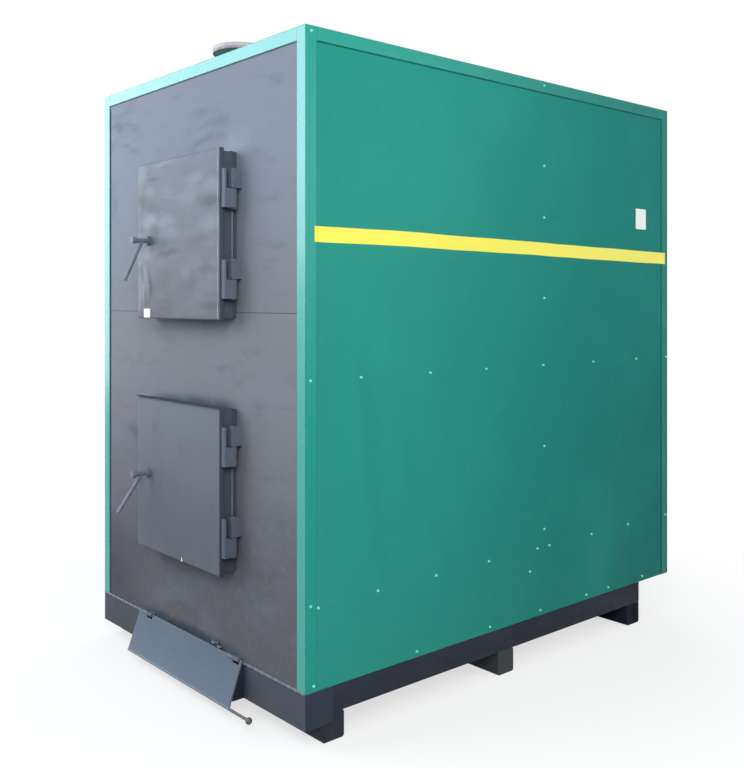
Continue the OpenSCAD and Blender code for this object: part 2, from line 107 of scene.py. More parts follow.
def remap(tree, value, low, high, toLow=0.0, toHigh=1.0):
    inputs = {"Value": value, "From Min": low, "From Max": high, "To Min": toLow, "To Max": toHigh}
    return addNode(tree, "ShaderNodeMapRange", inputs, interpolation_type="SMOOTHSTEP").outputs["Result"]


def mixTone(tree, share, first, second):
    node = addNode(tree, "ShaderNodeMix", data_type="RGBA")
    fillSockets(tree, node, {0: share, 6: first, 7: second})
    return node.outputs[2]


# lays a tone over a colour by a share of a mask
def lay(tree, colour, mask, share, shade):
    return mixTone(tree, mathNode(tree, "MULTIPLY", mask, share), colour, tone(*shade))


def place(tree, scale=(1.0, 1.0, 1.0)):
    source = addNode(tree, "ShaderNodeTexCoord").outputs["Object"]
    return addNode(tree, "ShaderNodeMapping", {"Vector": source, "Scale": scale}).outputs[0]


def placeParts(tree):
    return addNode(tree, "ShaderNodeSeparateXYZ", {0: place(tree)}).outputs


# a socket's default tells its kind: a tuple for a vector, a number for a float
def newGroup(name, inputs, outputs):
    group = bpy.data.node_groups.new(name, "ShaderNodeTree")
    for direction, sockets in (("INPUT", inputs), ("OUTPUT", outputs)):
        for label, value in sockets.items():
            kind = "NodeSocketVector" if isinstance(value, tuple) else "NodeSocketFloat"
            group.interface.new_socket(label, in_out=direction, socket_type=kind).default_value = value
    return group, group.nodes.new("NodeGroupInput").outputs, group.nodes.new("NodeGroupOutput").inputs


# fixed values inside the shared effects
effectSettings = {
    "edgeSamples": 4, "edgeTurn": (0.99, 0.80), "edgeDetail": 5.0, "edgeBreak": (0.38, 0.66),
    "cloudDetail": 7.0, "cloudRoughness": 0.62, "dustFlatten": (1.0, 1.0, 0.6), "dustPatch": (0.3, 0.75),
    "smudgeDetail": 6.0, "smudgeRoughness": 0.58, "smudgeWarp": 0.6,
    "markFade": (1.4, 0.2), "markDepth": 10.0, "blotScale": 9.0, "reliefDetail": 2.0,
}


# worn or rubbed edges: where a rounded normal leaves the true one
def makeEdgeWear(settings):
    group, given, result = newGroup("edgeWear", {"Radius": 0.004, "Break Scale": 30.0},
                                    {"Mask": 0.0, "Normal": (0.0, 0.0, 0.0)})
    bevel = addNode(group, "ShaderNodeBevel", {"Radius": given["Radius"]}, samples=settings["edgeSamples"])
    face = addNode(group, "ShaderNodeNewGeometry")
    turn = vectorNode(group, "DOT_PRODUCT", bevel.outputs[0], face.outputs["Normal"])["Value"]
    grain = noiseNode(group, place(group), given["Break Scale"], settings["edgeDetail"])["Fac"]
    edge = remap(group, turn, *settings["edgeTurn"])
    broken = remap(group, grain, *settings["edgeBreak"])
    group.links.new(mathNode(group, "MULTIPLY", edge, broken), result["Mask"])
    group.links.new(bevel.outputs[0], result["Normal"])
    return group


# dust that lies thicker towards the floor
def makeLowDust(settings):
    group, given, result = newGroup("lowDust", {"Foot": 0.0, "Reach": 0.6, "Scale": 6.0}, {"Mask": 0.0})
    top = mathNode(group, "ADD", given["Foot"], given["Reach"])
    fall = remap(group, placeParts(group)["Z"], top, given["Foot"])
    cloud = noiseNode(group, place(group, settings["dustFlatten"]), given["Scale"], settings["cloudDetail"],
                      settings["cloudRoughness"])["Fac"]
    patch = remap(group, cloud, *settings["dustPatch"])
    group.links.new(mathNode(group, "MULTIPLY", fall, patch), result["Mask"])
    return group


# hand marks, soot and weathering drawn as soft warped clouds
def makeSmudges(settings):
    inputs = {"Scale": 3.0, "Stretch": (1.0, 1.0, 1.0), "Low": 0.4, "High": 0.7, "Seed": 0.0}
    group, given, result = newGroup("smudges", inputs, {"Mask": 0.0})
    source = addNode(group, "ShaderNodeTexCoord").outputs["Object"]
    laid = vectorNode(group, "MULTIPLY", source, given["Stretch"])[0]
    cloud = addNode(group, "ShaderNodeTexNoise", {
        "Vector": laid, "W": given["Seed"], "Scale": given["Scale"], "Detail": settings["smudgeDetail"],
        "Roughness": settings["smudgeRoughness"], "Distortion": settings["smudgeWarp"],
    }, noise_dimensions="4D")
    group.links.new(remap(group, cloud.outputs["Fac"], given["Low"], given["High"]), result["Mask"])
    return group


# soft blot round a given place, reaching out by a given size
def makePlacedMark(settings):
    inputs = {"Point": (0.0, 0.0, 0.0), "Middle": (0.0, 0.0, 0.0), "Size": (1.0, 1.0, 1.0)}
    group, given, result = newGroup("placedMark", inputs, {"Mask": 0.0})
    offset = vectorNode(group, "SUBTRACT", given["Point"], given["Middle"])[0]
    share = vectorNode(group, "DIVIDE", offset, given["Size"])[0]
    reach = vectorNode(group, "LENGTH", share)["Value"]
    group.links.new(remap(group, reach, *settings["markFade"]), result["Mask"])
    return group


# height for a bump: slow waves of thin sheet and the fine skin of sprayed paint
def makePaintRelief(settings):
    inputs = {"Wave Scale": 3.0, "Wave Height": 0.002, "Skin Scale": 350.0, "Skin Height": 0.00006}
    group, given, result = newGroup("paintRelief", inputs, {"Height": 0.0})
    wave = noiseNode(group, place(group), given["Wave Scale"], settings["reliefDetail"])["Fac"]
    skin = noiseNode(group, place(group), given["Skin Scale"], settings["reliefDetail"])["Fac"]
    slow = mathNode(group, "MULTIPLY", wave, given["Wave Height"])
    group.links.new(mathNode(group, "MULTIPLY_ADD", skin, given["Skin Height"], slow), result["Height"])
    return group


effects = {
    "edgeWear": makeEdgeWear(effectSettings),
    "lowDust": makeLowDust(effectSettings),
    "smudges": makeSmudges(effectSettings),
    "placedMark": makePlacedMark(effectSettings),
    "paintRelief": makePaintRelief(effectSettings),
}


def useEffect(tree, name, inputs):
    node = tree.nodes.new("ShaderNodeGroup")
    node.node_tree = effects[name]
    return fillSockets(tree, node, inputs).outputs


def smudgeMask(tree, layer):
    return useEffect(tree, "smudges", {
        "Scale": layer["scale"], "Stretch": layer.get("stretch", (1.0, 1.0, 1.0)),
        "Low": layer["span"][0], "High": layer["span"][1], "Seed": layer["seed"]})["Mask"]


def reliefBump(tree, look, **under):
    height = useEffect(tree, "paintRelief", {
        "Wave Scale": look["waveScale"], "Wave Height": look["waveHeight"],
        "Skin Scale": look["skinScale"], "Skin Height": look["skinHeight"]})["Height"]
    return addNode(tree, "ShaderNodeBump", {"Height": height, "Distance": 1.0, **under}).outputs[0]


def newMaterial(name):
    material = bpy.data.materials.new(name)
    material.use_nodes = True
    tree = material.node_tree
    return material, tree, tree.nodes["Principled BSDF"]


# share of all the blots in a list, each as x, z, half width, half height and strength
def blotShare(tree, spots, pull, settings=effectSettings):
    cloud = noiseNode(tree, place(tree), settings["blotScale"], settings["cloudDetail"],
                      settings["cloudRoughness"])["Color"]
    centred = vectorNode(tree, "ADD", cloud, (-0.5, -0.5, -0.5))[0]
    ragged = vectorNode(tree, "MULTIPLY_ADD", centred, pull, place(tree))[0]
    total = 0.0
    for x, z, halfWidth, halfHeight, strength in spots:
        mask = useEffect(tree, "placedMark", {"Point": ragged, "Middle": (x, 0.0, z),
                                              "Size": (halfWidth, settings["markDepth"], halfHeight)})["Mask"]
        total = mathNode(tree, "MAXIMUM", mathNode(tree, "MULTIPLY", mask, strength), total)
    return total


# painted sheet: base tone with height drift, painted reflection towards the top, painted shade towards the
# rear, layers of smudges, blots, dust, rubbed edges and relief
def makePaint(name, look):
    material, tree, surface = newMaterial(name)
    spot = placeParts(tree)
    drift = remap(tree, spot["Z"], *look["drift"])
    colour = mixTone(tree, drift, tone(*look["low"]), tone(*look["high"]))
    roughness = look["roughness"]
    # painted sky reflection: a lighter, bluer tone towards the top
    if look["topReflectionTone"]:
        colour = mixTone(tree, remap(tree, spot["Z"], *look["topReflectionSpan"]), colour, tone(*look["topReflectionTone"]))
    # painted shade: the colour darkens towards the rear
    if look["rearShadeTone"]:
        rear = mixTone(tree, drift, tone(*look["rearShadeLow"]), tone(*look["rearShadeTone"]))
        colour = mixTone(tree, remap(tree, spot["Y"], *look["rearShadeSpan"]), colour, rear)
    for layer in look["layers"]:
        mask = smudgeMask(tree, layer)
        colour = lay(tree, colour, mask, layer["share"], layer["tone"])
        roughness = mathNode(tree, "MULTIPLY_ADD", mask, layer["dulling"], roughness)
    for marks, pull in ((look["blots"], look["blotPull"]), (look["bands"], look["bandPull"])):
        for markTone, spots in marks:
            colour = mixTone(tree, blotShare(tree, spots, pull), colour, tone(*markTone))
    dust = useEffect(tree, "lowDust", {"Foot": look["dustFoot"], "Reach": look["dustReach"],
                                       "Scale": look["dustScale"]})["Mask"]
    dusted = mathNode(tree, "MULTIPLY", dust, look["dustShare"])
    colour = mixTone(tree, dusted, colour, tone(*look["dust"]))
    wear = useEffect(tree, "edgeWear", {"Radius": look["edgeRadius"], "Break Scale": look["breakScale"]})
    colour = lay(tree, colour, wear["Mask"], look["edgeShare"], look["edge"])
    fillSockets(tree, surface, {
        "Base Color": colour, "Normal": reliefBump(tree, look, Normal=wear["Normal"]),
        "Roughness": mathNode(tree, "MULTIPLY_ADD", dusted, look["dustDulling"], roughness),
        "Specular IOR Level": look["gloss"]})
    return material


plainPaint = {
    "low": (34, 146, 131), "high": (36, 154, 139), "drift": (0.3, 1.9), "roughness": 0.40, "gloss": 0.08,
    "layers": [], "blots": [], "blotPull": (0.12, 0.0, 0.06), "bands": [], "bandPull": (0.03, 0.0, 0.012),
    "topReflectionTone": None, "topReflectionSpan": (1.15, 1.85), "rearShadeTone": None, "rearShadeSpan": (-0.7, 1.1),
    "dust": (120, 160, 148), "dustFoot": 0.1, "dustReach": 0.5, "dustShare": 0.10, "dustScale": 7.0,
    "dustDulling": 0.3, "edge": (96, 190, 174), "edgeShare": 0.35, "edgeRadius": 0.003, "breakScale": 40.0,
    "waveScale": 2.2, "waveHeight": 0.004, "skinScale": 420.0, "skinHeight": 0.00005,
}
# the side sheets carry painted shade, darker towards the rear
casingLook = dict(
    plainPaint, low=(43, 148, 135), high=(30, 147, 132), rearShadeTone=(12, 127, 117), rearShadeLow=(0, 111, 103),
    dustShare=0.05,
    layers=[
        dict(scale=1.1, span=(0.42, 0.75), share=0.42, tone=(48, 164, 147), dulling=0.05, seed=1.0),
        dict(scale=2.4, stretch=(1.0, 1.0, 0.35), span=(0.5, 0.8), share=0.52, tone=(24, 120, 109),
             dulling=0.06, seed=4.0),
        dict(scale=26.0, span=(0.58, 0.74), share=0.20, tone=(66, 166, 150), dulling=0.1, seed=7.0),
    ])
roofLook = dict(casingLook, roughness=0.62, gloss=0.05, dust=(126, 147, 141), dustFoot=1.9, dustReach=0.9,
                dustShare=0.42)
# the trims carry painted shade, darker towards the rear
trimLook = dict(
    plainPaint, low=(26, 152, 137), high=(28, 157, 142), rearShadeTone=(4, 126, 117), rearShadeLow=(4, 117, 109),
    roughness=0.34, gloss=0.2, edge=(30, 112, 102), edgeShare=0.4, waveScale=5.0, waveHeight=0.001,
    layers=[
        dict(scale=9.0, span=(0.5, 0.75), share=0.2, tone=(58, 172, 156), dulling=0.06, seed=2.0),
        dict(scale=60.0, span=(0.62, 0.72), share=0.2, tone=(34, 122, 110), dulling=0.1, seed=5.0),
    ])
# painted glare: the front leaves grow paler and bluer towards the top
frontTrimGlareLook = dict(trimLook, low=(56, 168, 153), high=(84, 184, 182), rearShadeTone=None, drift=(0.5, 1.9),
                     roughness=0.26, gloss=0.5)
# painted sky reflection: the plate is lighter towards the top and bluer above 1.15 m
frontLook = dict(
    plainPaint, low=(101, 102, 108), high=(128, 131, 138), drift=(0.25, 1.05), topReflectionTone=(131, 139, 154),
    roughness=0.42, gloss=0.03,
    layers=[
        dict(scale=2.6, stretch=(1.0, 1.0, 1.6), span=(0.46, 0.72), share=0.32, tone=(126, 136, 152),
             dulling=-0.06, seed=3.0),
        dict(scale=6.5, stretch=(0.7, 1.0, 2.2), span=(0.5, 0.75), share=0.40, tone=(88, 86, 91),
             dulling=0.12, seed=8.0),
        dict(scale=42.0, span=(0.50, 0.72), share=0.20, tone=(138, 144, 154), dulling=0.05, seed=11.0),
    ],
    blots=[((150, 166, 188), [(0.268, 1.772, 0.075, 0.048, 0.5)]),
           ((82, 88, 100), [(0.184, 1.850, 0.070, 0.025, 0.3), (0.067, 1.897, 0.090, 0.018, 0.2)]),
           ((66, 70, 79), [(-0.60, 0.18, 0.26, 0.30, 0.6)]),
           # painted shade: a dark band along the flap's top edge
           ((52, 63, 78), [(-0.02, 0.176, 0.34, 0.022, 0.9)])],
    # darker band on the plate just above the lower door's top edge
    bands=[((72, 83, 99), [(-0.11, 0.930, 0.16, 0.029, 0.85), (0.06, 0.932, 0.16, 0.034, 0.95),
                           (0.19, 0.932, 0.11, 0.034, 0.95)])],
    dust=(100, 96, 96), dustShare=0.35, dustReach=0.7, edge=(160, 168, 178), edgeShare=0.35, edgeRadius=0.003,
    waveScale=6.0, waveHeight=0.002, skinScale=260.0, skinHeight=0.0001)
upperDoorLook = dict(
    frontLook, topReflectionTone=None, bands=[], low=(110, 113, 122), high=(106, 113, 126), drift=(1.25, 1.75),
    roughness=0.40, gloss=0.1, edgeRadius=0.0015,
    layers=[
        dict(scale=5.0, stretch=(0.7, 1.0, 2.0), span=(0.46, 0.68), share=0.22, tone=(138, 146, 160),
             dulling=-0.05, seed=13.0),
        dict(scale=6.5, stretch=(0.6, 1.0, 2.2), span=(0.5, 0.7), share=0.22, tone=(88, 90, 99),
             dulling=0.1, seed=17.0),
        dict(scale=70.0, span=(0.55, 0.7), share=0.14, tone=(146, 152, 162), dulling=0.05, seed=19.0),
    ],
    # light and dark patches: partly patchy paint, partly painted highlights and shade of the dented sheet;
    # the narrow tall ones near x -0.15 to -0.20 paint the fold's highlight and shade
    blots=[
        ((140, 148, 162), [
            (-0.223, 1.721, 0.040, 0.040, 0.5), (0.135, 1.668, 0.070, 0.024, 0.4),
            (-0.151, 1.649, 0.038, 0.018, 0.4), (-0.172, 1.555, 0.077, 0.028, 0.8),
            (-0.060, 1.542, 0.078, 0.018, 0.45), (0.232, 1.528, 0.066, 0.030, 0.4),
            (0.000, 1.497, 0.072, 0.022, 0.3), (0.243, 1.642, 0.044, 0.022, 0.4),
            (-0.180, 1.431, 0.078, 0.022, 0.5), (-0.227, 1.407, 0.034, 0.018, 0.6),
            (-0.181, 1.352, 0.018, 0.055, 0.6), (0.065, 1.373, 0.040, 0.032, 0.35),
            (-0.060, 1.741, 0.075, 0.010, 0.4), (-0.236, 1.315, 0.030, 0.052, 0.35)]),
        ((74, 77, 88), [
            (-0.209, 1.619, 0.052, 0.021, 0.6), (0.229, 1.593, 0.076, 0.022, 0.6),
            (-0.095, 1.597, 0.115, 0.022, 0.35), (-0.133, 1.508, 0.049, 0.033, 0.5),
            (-0.238, 1.524, 0.019, 0.023, 0.4), (-0.040, 1.434, 0.087, 0.013, 0.55),
            (0.202, 1.477, 0.089, 0.021, 0.35), (0.208, 1.375, 0.071, 0.017, 0.4),
            (0.104, 1.331, 0.050, 0.028, 0.3), (-0.152, 1.335, 0.014, 0.047, 0.7),
            (-0.203, 1.359, 0.012, 0.030, 0.6), (-0.130, 1.690, 0.050, 0.008, 0.5),
            (0.214, 1.260, 0.088, 0.020, 0.45), (-0.054, 1.260, 0.095, 0.026, 0.35)]),
    ],
    dustFoot=1.2, dustReach=0.3, dustShare=0.2, edgeShare=0.3)
lowerDoorLook = dict(
    upperDoorLook, low=(96, 101, 112), high=(114, 119, 130), drift=(0.45, 0.90), dustFoot=0.4, dustReach=0.4,
    layers=[
        dict(scale=4.0, span=(0.46, 0.74), share=0.28, tone=(120, 126, 138), dulling=-0.05, seed=23.0),
        dict(scale=8.0, stretch=(1.0, 1.0, 0.6), span=(0.52, 0.74), share=0.34, tone=(78, 81, 91),
             dulling=0.12, seed=29.0),
        dict(scale=70.0, span=(0.55, 0.7), share=0.14, tone=(132, 138, 148), dulling=0.05, seed=31.0),
    ],
    blots=[], edgeShare=0.0, edgeRadius=0.0005)
hingeLook = dict(
    frontLook, topReflectionTone=None, bands=[], blots=[], low=(89, 96, 110), high=(102, 110, 126), roughness=0.45,
    gloss=0.2, edge=(150, 156, 162), edgeShare=0.4,
    layers=[
        dict(scale=30.0, span=(0.5, 0.72), share=0.35, tone=(66, 71, 82), dulling=0.1, seed=37.0),
    ])
frameLook = dict(hingeLook, low=(66, 71, 82), high=(80, 87, 99), edgeShare=0.2)
# painted shade: the frame paint as it looks in shade, for the frames' sides near the plate and the doors'
# hinge sides
shadedSlateLook = dict(hingeLook, low=(64, 69, 79), high=(74, 80, 92), edgeShare=0.0)
apronLook = dict(
    hingeLook, low=(58, 65, 79), high=(68, 75, 89), drift=(0.06, 0.16), roughness=0.46, gloss=0.2,
    blots=[((48, 54, 68), [(-0.60, 0.11, 0.30, 0.30, 0.6)])],
    layers=[
        dict(scale=5.0, span=(0.45, 0.72), share=0.35, tone=(84, 92, 106), dulling=-0.03, seed=41.0),
        dict(scale=16.0, stretch=(1.0, 1.0, 0.5), span=(0.52, 0.72), share=0.4, tone=(52, 55, 64),
             dulling=0.12, seed=43.0),
    ],
    dust=(104, 102, 98), dustFoot=0.04, dustReach=0.14, dustShare=0.25, edge=(128, 136, 148), edgeShare=0.6)
# painted shade: the base darkens towards the rear, under the overhang
baseLook = dict(
    apronLook, blots=[], low=(36, 42, 54), high=(44, 51, 64), rearShadeTone=(14, 18, 30), rearShadeLow=(11, 15, 26),
    edge=(80, 88, 100), edgeShare=0.35, gloss=0.12,
    layers=[
        dict(scale=4.0, span=(0.45, 0.7), share=0.4, tone=(58, 66, 78), dulling=0.0, seed=47.0),
        dict(scale=22.0, span=(0.54, 0.72), share=0.35, tone=(28, 32, 40), dulling=0.14, seed=53.0),
    ],
    dust=(84, 82, 76), dustFoot=0.0, dustReach=0.16, dustShare=0.3)
# painted shade: the apron's side returns are painted darker than its front
returnShadeLook = dict(baseLook, low=(47, 55, 70), high=(50, 58, 73))
runnerLook = dict(baseLook, low=(60, 65, 68), high=(60, 65, 68), rearShadeTone=(60, 65, 68), rearShadeLow=(60, 65, 68))
# painted shade: the rear runner is painted nearly black, for the shade under the overhang
rearRunnerShadeLook = dict(baseLook, low=(16, 20, 30), high=(16, 20, 30), rearShadeTone=(16, 20, 30),
                      rearShadeLow=(16, 20, 30), dustShare=0.0, gloss=0.02)
flapLook = dict(
    apronLook, blots=[], low=(101, 117, 135), high=(89, 105, 122), drift=(0.03, 0.16), roughness=0.38,
    gloss=0.25,
    layers=[
        dict(scale=6.0, span=(0.46, 0.74), share=0.25, tone=(118, 134, 150), dulling=-0.04, seed=59.0),
        dict(scale=34.0, span=(0.58, 0.72), share=0.2, tone=(78, 91, 106), dulling=0.1, seed=61.0),
    ],
    dustShare=0.1, edge=(150, 163, 175), edgeShare=0.6)
ductLook = dict(baseLook, low=(33, 42, 56), high=(43, 53, 67), drift=(0.06, 0.16), dustShare=0.1)
# pale pinkish grey: the pink tint is a painted counter to the green light the roof throws on the flange's
# underside
flangeLook = dict(
    hingeLook, low=(176, 161, 166), high=(176, 161, 166), edge=(190, 188, 188), edgeShare=0.5, dustShare=0.0,
    layers=[
        dict(scale=14.0, span=(0.48, 0.70), share=0.5, tone=(112, 104, 110), dulling=0.1, seed=67.0),
        dict(scale=20.0, span=(0.56, 0.72), share=0.5, tone=(138, 104, 84), dulling=0.3, seed=71.0),
    ],
    skinHeight=0.0002, skinScale=180.0)
sootLook = dict(
    hingeLook, low=(86, 78, 72), high=(74, 68, 64), roughness=0.8, edge=(110, 84, 66), edgeShare=0.3,
    layers=[
        dict(scale=6.0, span=(0.45, 0.7), share=0.5, tone=(120, 92, 74), dulling=0.0, seed=73.0),
        dict(scale=15.0, span=(0.45, 0.7), share=0.5, tone=(50, 47, 46), dulling=0.1, seed=79.0),
    ],
    dust=(120, 112, 104), dustFoot=0.1, dustReach=0.5, dustShare=0.3, skinScale=90.0, skinHeight=0.0006)
ironLook = dict(sootLook, low=(70, 66, 64), high=(70, 66, 64), dust=(150, 144, 136), dustFoot=0.3,
                dustReach=0.15, skinScale=140.0, skinHeight=0.0008)
liningLook = dict(
    sootLook, low=(150, 140, 126), high=(150, 140, 126), roughness=0.9, edge=(180, 170, 156), edgeShare=0.5,
    layers=[
        dict(scale=5.0, span=(0.42, 0.68), share=0.75, tone=(62, 56, 52), dulling=0.0, seed=83.0),
        dict(scale=40.0, span=(0.5, 0.7), share=0.35, tone=(186, 178, 164), dulling=0.0, seed=89.0),
    ],
    dustShare=0.0, skinScale=120.0, skinHeight=0.0012)
weldLook = dict(hingeLook, low=(100, 106, 118), high=(112, 118, 130), edgeShare=0.0, skinScale=220.0,
                skinHeight=0.0003)
beadLook = dict(weldLook, low=(120, 127, 140), high=(120, 127, 140))
gapLook = dict(
    plainPaint, low=(28, 106, 97), high=(32, 120, 110), roughness=0.8, edgeShare=0.0,
    layers=[
        dict(scale=30.0, span=(0.4, 0.7), share=0.4, tone=(24, 62, 57), dulling=0.0, seed=107.0),
    ])
frontGapLook = dict(
    gapLook, low=(66, 77, 87), high=(104, 114, 124), drift=(1.98, 2.015),
    layers=[
        dict(scale=30.0, span=(0.4, 0.7), share=0.3, tone=(40, 45, 51), dulling=0.0, seed=113.0),
    ])
ropeLook = dict(
    liningLook, low=(176, 170, 158), high=(176, 170, 158), skinScale=240.0, skinHeight=0.0016,
    layers=[
        dict(scale=8.0, span=(0.42, 0.7), share=0.7, tone=(74, 68, 62), dulling=0.0, seed=109.0),
    ])

paintLooks = {
    "casingPaint": casingLook, "roofPaint": roofLook, "trimPaint": trimLook, "frontTrimPaint": frontTrimGlareLook,
    "frontPaint": frontLook, "upperDoorPaint": upperDoorLook, "lowerDoorPaint": lowerDoorLook,
    "hingePaint": hingeLook, "framePaint": frameLook, "collarPaint": shadedSlateLook, "apronPaint": apronLook,
    "basePaint": baseLook, "returnPaint": returnShadeLook, "runnerPaint": runnerLook,
    "rearRunnerPaint": rearRunnerShadeLook, "flapPaint": flapLook, "ductPaint": ductLook,
    "flangePaint": flangeLook, "sootySteel": sootLook, "grateIron": ironLook, "doorLining": liningLook,
    "weldPaint": weldLook, "beadPaint": beadLook, "gapShade": gapLook, "frontGapShade": frontGapLook,
    "sealRope": ropeLook,
}
finishes = {name: makePaint(name, look) for name, look in paintLooks.items()}


# bare or zinc-plated steel with drawn scratches and small rust freckles
def makeBareSteel(name, look):
    material, tree, surface = newMaterial(name)
    grain = noiseNode(tree, place(tree, look["stretch"]), look["grainScale"], look["grainDetail"])["Fac"]
    colour = mixTone(tree, grain, tone(*look["dark"]), tone(*look["light"]))
    rusted = mathNode(tree, "MULTIPLY", smudgeMask(tree, look["freckles"]), look["rustShare"])
    colour = mixTone(tree, rusted, colour, tone(*look["rust"]))
    wear = useEffect(tree, "edgeWear", {"Radius": look["edgeRadius"], "Break Scale": look["breakScale"]})
    colour = lay(tree, colour, wear["Mask"], look["edgeShare"], look["edge"])
    bump = addNode(tree, "ShaderNodeBump", {"Height": grain, "Normal": wear["Normal"],
                                            "Distance": look["grainHeight"]})
    fillSockets(tree, surface, {
        "Base Color": colour, "Normal": bump.outputs[0],
        "Metallic": remap(tree, rusted, 0.0, look["rustDulls"], look["metal"], 0.0),
        "Roughness": remap(tree, grain, *look["grainSpan"], *look["roughness"])})
    return material


leverSteel = {
    "dark": (78, 85, 98), "light": (132, 140, 154), "stretch": (1.0, 1.0, 0.2), "grainScale": 120.0,
    "grainDetail": 4.0, "grainHeight": 0.0004, "grainSpan": (0.3, 0.7), "roughness": (0.48, 0.66),
    "freckles": {"scale": 34.0, "span": (0.56, 0.72), "seed": 5.0}, "rust": (98, 76, 60), "rustShare": 0.45,
    "rustDulls": 0.6, "edge": (168, 174, 180), "edgeRadius": 0.002, "edgeShare": 0.5, "breakScale": 90.0,
    "metal": 0.15,
}
# pale mint heads: partly green overspray, partly the green casing's reflection painted into the colour
zincSteel = dict(leverSteel, dark=(112, 216, 204), light=(168, 250, 240), stretch=(1.0, 1.0, 1.0),
                 rustShare=0.08, edge=(206, 252, 246), edgeRadius=0.0008, metal=0.05, roughness=(0.3, 0.42))
# pale steel for painted highlights: the flange's rim and the upper door's hinge-side corner
rimSteel = dict(leverSteel, dark=(160, 166, 171), light=(196, 202, 207), metal=0.1, edge=(224, 228, 230),
                rustShare=0.15)
rodSteel = dict(leverSteel, dark=(74, 78, 80), light=(104, 108, 108), metal=0.2, rustShare=0.6,
                edge=(130, 132, 130))
steelLooks = {"rimSteel": rimSteel, "rodSteel": rodSteel, "leverSteel": leverSteel, "zincSteel": zincSteel}
finishes.update({name: makeBareSteel(name, look) for name, look in steelLooks.items()})
print("finishes made:", len(finishes))

nodeFinishes = {
    "casingPaint": ["side_panel_left", "side_panel_right", "rear_panel", "rear_soffit"],
    "roofPaint": ["roof_panel"],
    "trimPaint": ["corner_trim_front_left", "corner_trim_front_right", "corner_trim_rear_left",
                  "corner_trim_rear_right", "top_trims"],
    "frontPaint": ["front_plate_lower", "front_plate_upper"],
    "framePaint": ["upper_door_frame", "lower_door_frame"],
    "upperDoorPaint": ["upper_door_leaf"],
    "lowerDoorPaint": ["lower_door_leaf"],
    "hingePaint": ["upper_hinge_posts", "upper_hinge_arms", "lower_hinge_posts", "lower_hinge_arms",
                   "flap_lugs"],
    "apronPaint": ["front_apron"],
    "basePaint": ["side_beam_left", "side_beam_right", "rear_beam", "runner_front", "ash_floor"],
    "runnerPaint": ["runner_middle"],
    "rearRunnerPaint": ["runner_rear"],
    "flapPaint": ["air_flap"],
    "ductPaint": ["air_duct"],
    "flangePaint": ["supply_pipe", "supply_flange", "return_pipe", "return_flange", "flue_duct",
                    "flue_flange"],
    "sootySteel": ["jacket_left", "jacket_right", "jacket_rear", "crown", "furnace_shelf"],
    "grateIron": ["grate", "grate_bearers"],
    "doorLining": ["upper_door_lining", "lower_door_lining"],
    "leverSteel": ["upper_latch", "lower_latch"],
}
for finish, names in nodeFinishes.items():
    for name in names:
        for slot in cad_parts[name].material_slots:
            slot.material = finishes[finish]


def makePiece(name, mesh, finish, body):
    piece = bpy.data.objects.new(name, mesh)
    if not mesh.materials:
        mesh.materials.append(finishes[finish])
    scene.collection.objects.link(piece)
    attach(piece, body)


def meshFrom(name, points, faces):
    mesh = bpy.data.meshes.new(name)
    mesh.from_pydata(points, [], faces)
    mesh.update()
    return mesh


boxFaces = [(0, 2, 3, 1), (4, 5, 7, 6), (0, 1, 5, 4), (2, 6, 7, 3), (0, 4, 6, 2), (1, 3, 7, 5)]


# piece of closed boxes, each given by its low and high corners
def makeBoxes(name, boxes, finish, body):
    points, faces = [], []
    for low, high in boxes:
        first = len(points)
        points += [(x, y, z) for z in (low[2], high[2]) for y in (low[1], high[1]) for x in (low[0], high[0])]
        faces += [tuple(first + corner for corner in face) for face in boxFaces]
    makePiece(name, meshFrom(name, points, faces), finish, body)


# faces between rings of points that follow one another, closed where the last ring meets the first
def stitch(first, rings, sides, closed=False):
    faces = []
    for ring in range(rings if closed else rings - 1):
        here, after = first + ring * sides, first + (ring + 1) % rings * sides
        for i in range(sides):
            beside = (i + 1) % sides
            faces.append((here + i, here + beside, after + beside, after + i))
    return faces


# Geometry Nodes trees share these helpers
def newShapeTree(name, inputs):
    tree = bpy.data.node_groups.new(name, "GeometryNodeTree")
    for label, kind in {"Geometry": "Geometry", **inputs, "Material": "Material"}.items():
        tree.interface.new_socket(label, in_out="INPUT", socket_type="NodeSocket" + kind)
    tree.interface.new_socket("Geometry", in_out="OUTPUT", socket_type="NodeSocketGeometry")
    return tree, tree.nodes.new("NodeGroupInput").outputs


def endShapeTree(tree, shape, material):
    real = addNode(tree, "GeometryNodeRealizeInstances", {0: shape})
    dressed = addNode(tree, "GeometryNodeSetMaterial", {"Geometry": real.outputs[0], "Material": material})
    addNode(tree, "NodeGroupOutput", {0: dressed.outputs[0]})
    return tree


def grow(name, tree, mesh, values):
    seedObject = bpy.data.objects.new(name + "Seed", mesh)
    scene.collection.objects.link(seedObject)
    modifier = seedObject.modifiers.new("grow", "NODES")
    modifier.node_group = tree
    for item in tree.interface.items_tree:
        if item.item_type == "SOCKET" and item.in_out == "INPUT" and item.name in values:
            modifier[item.identifier] = values[item.name]
    bpy.context.view_layer.update()
    shown = seedObject.evaluated_get(bpy.context.evaluated_depsgraph_get())
    grown = bpy.data.meshes.new_from_object(shown)
    grown.name = name
    seedObject.modifiers.clear()
    bpy.data.objects.remove(seedObject)
    return grown


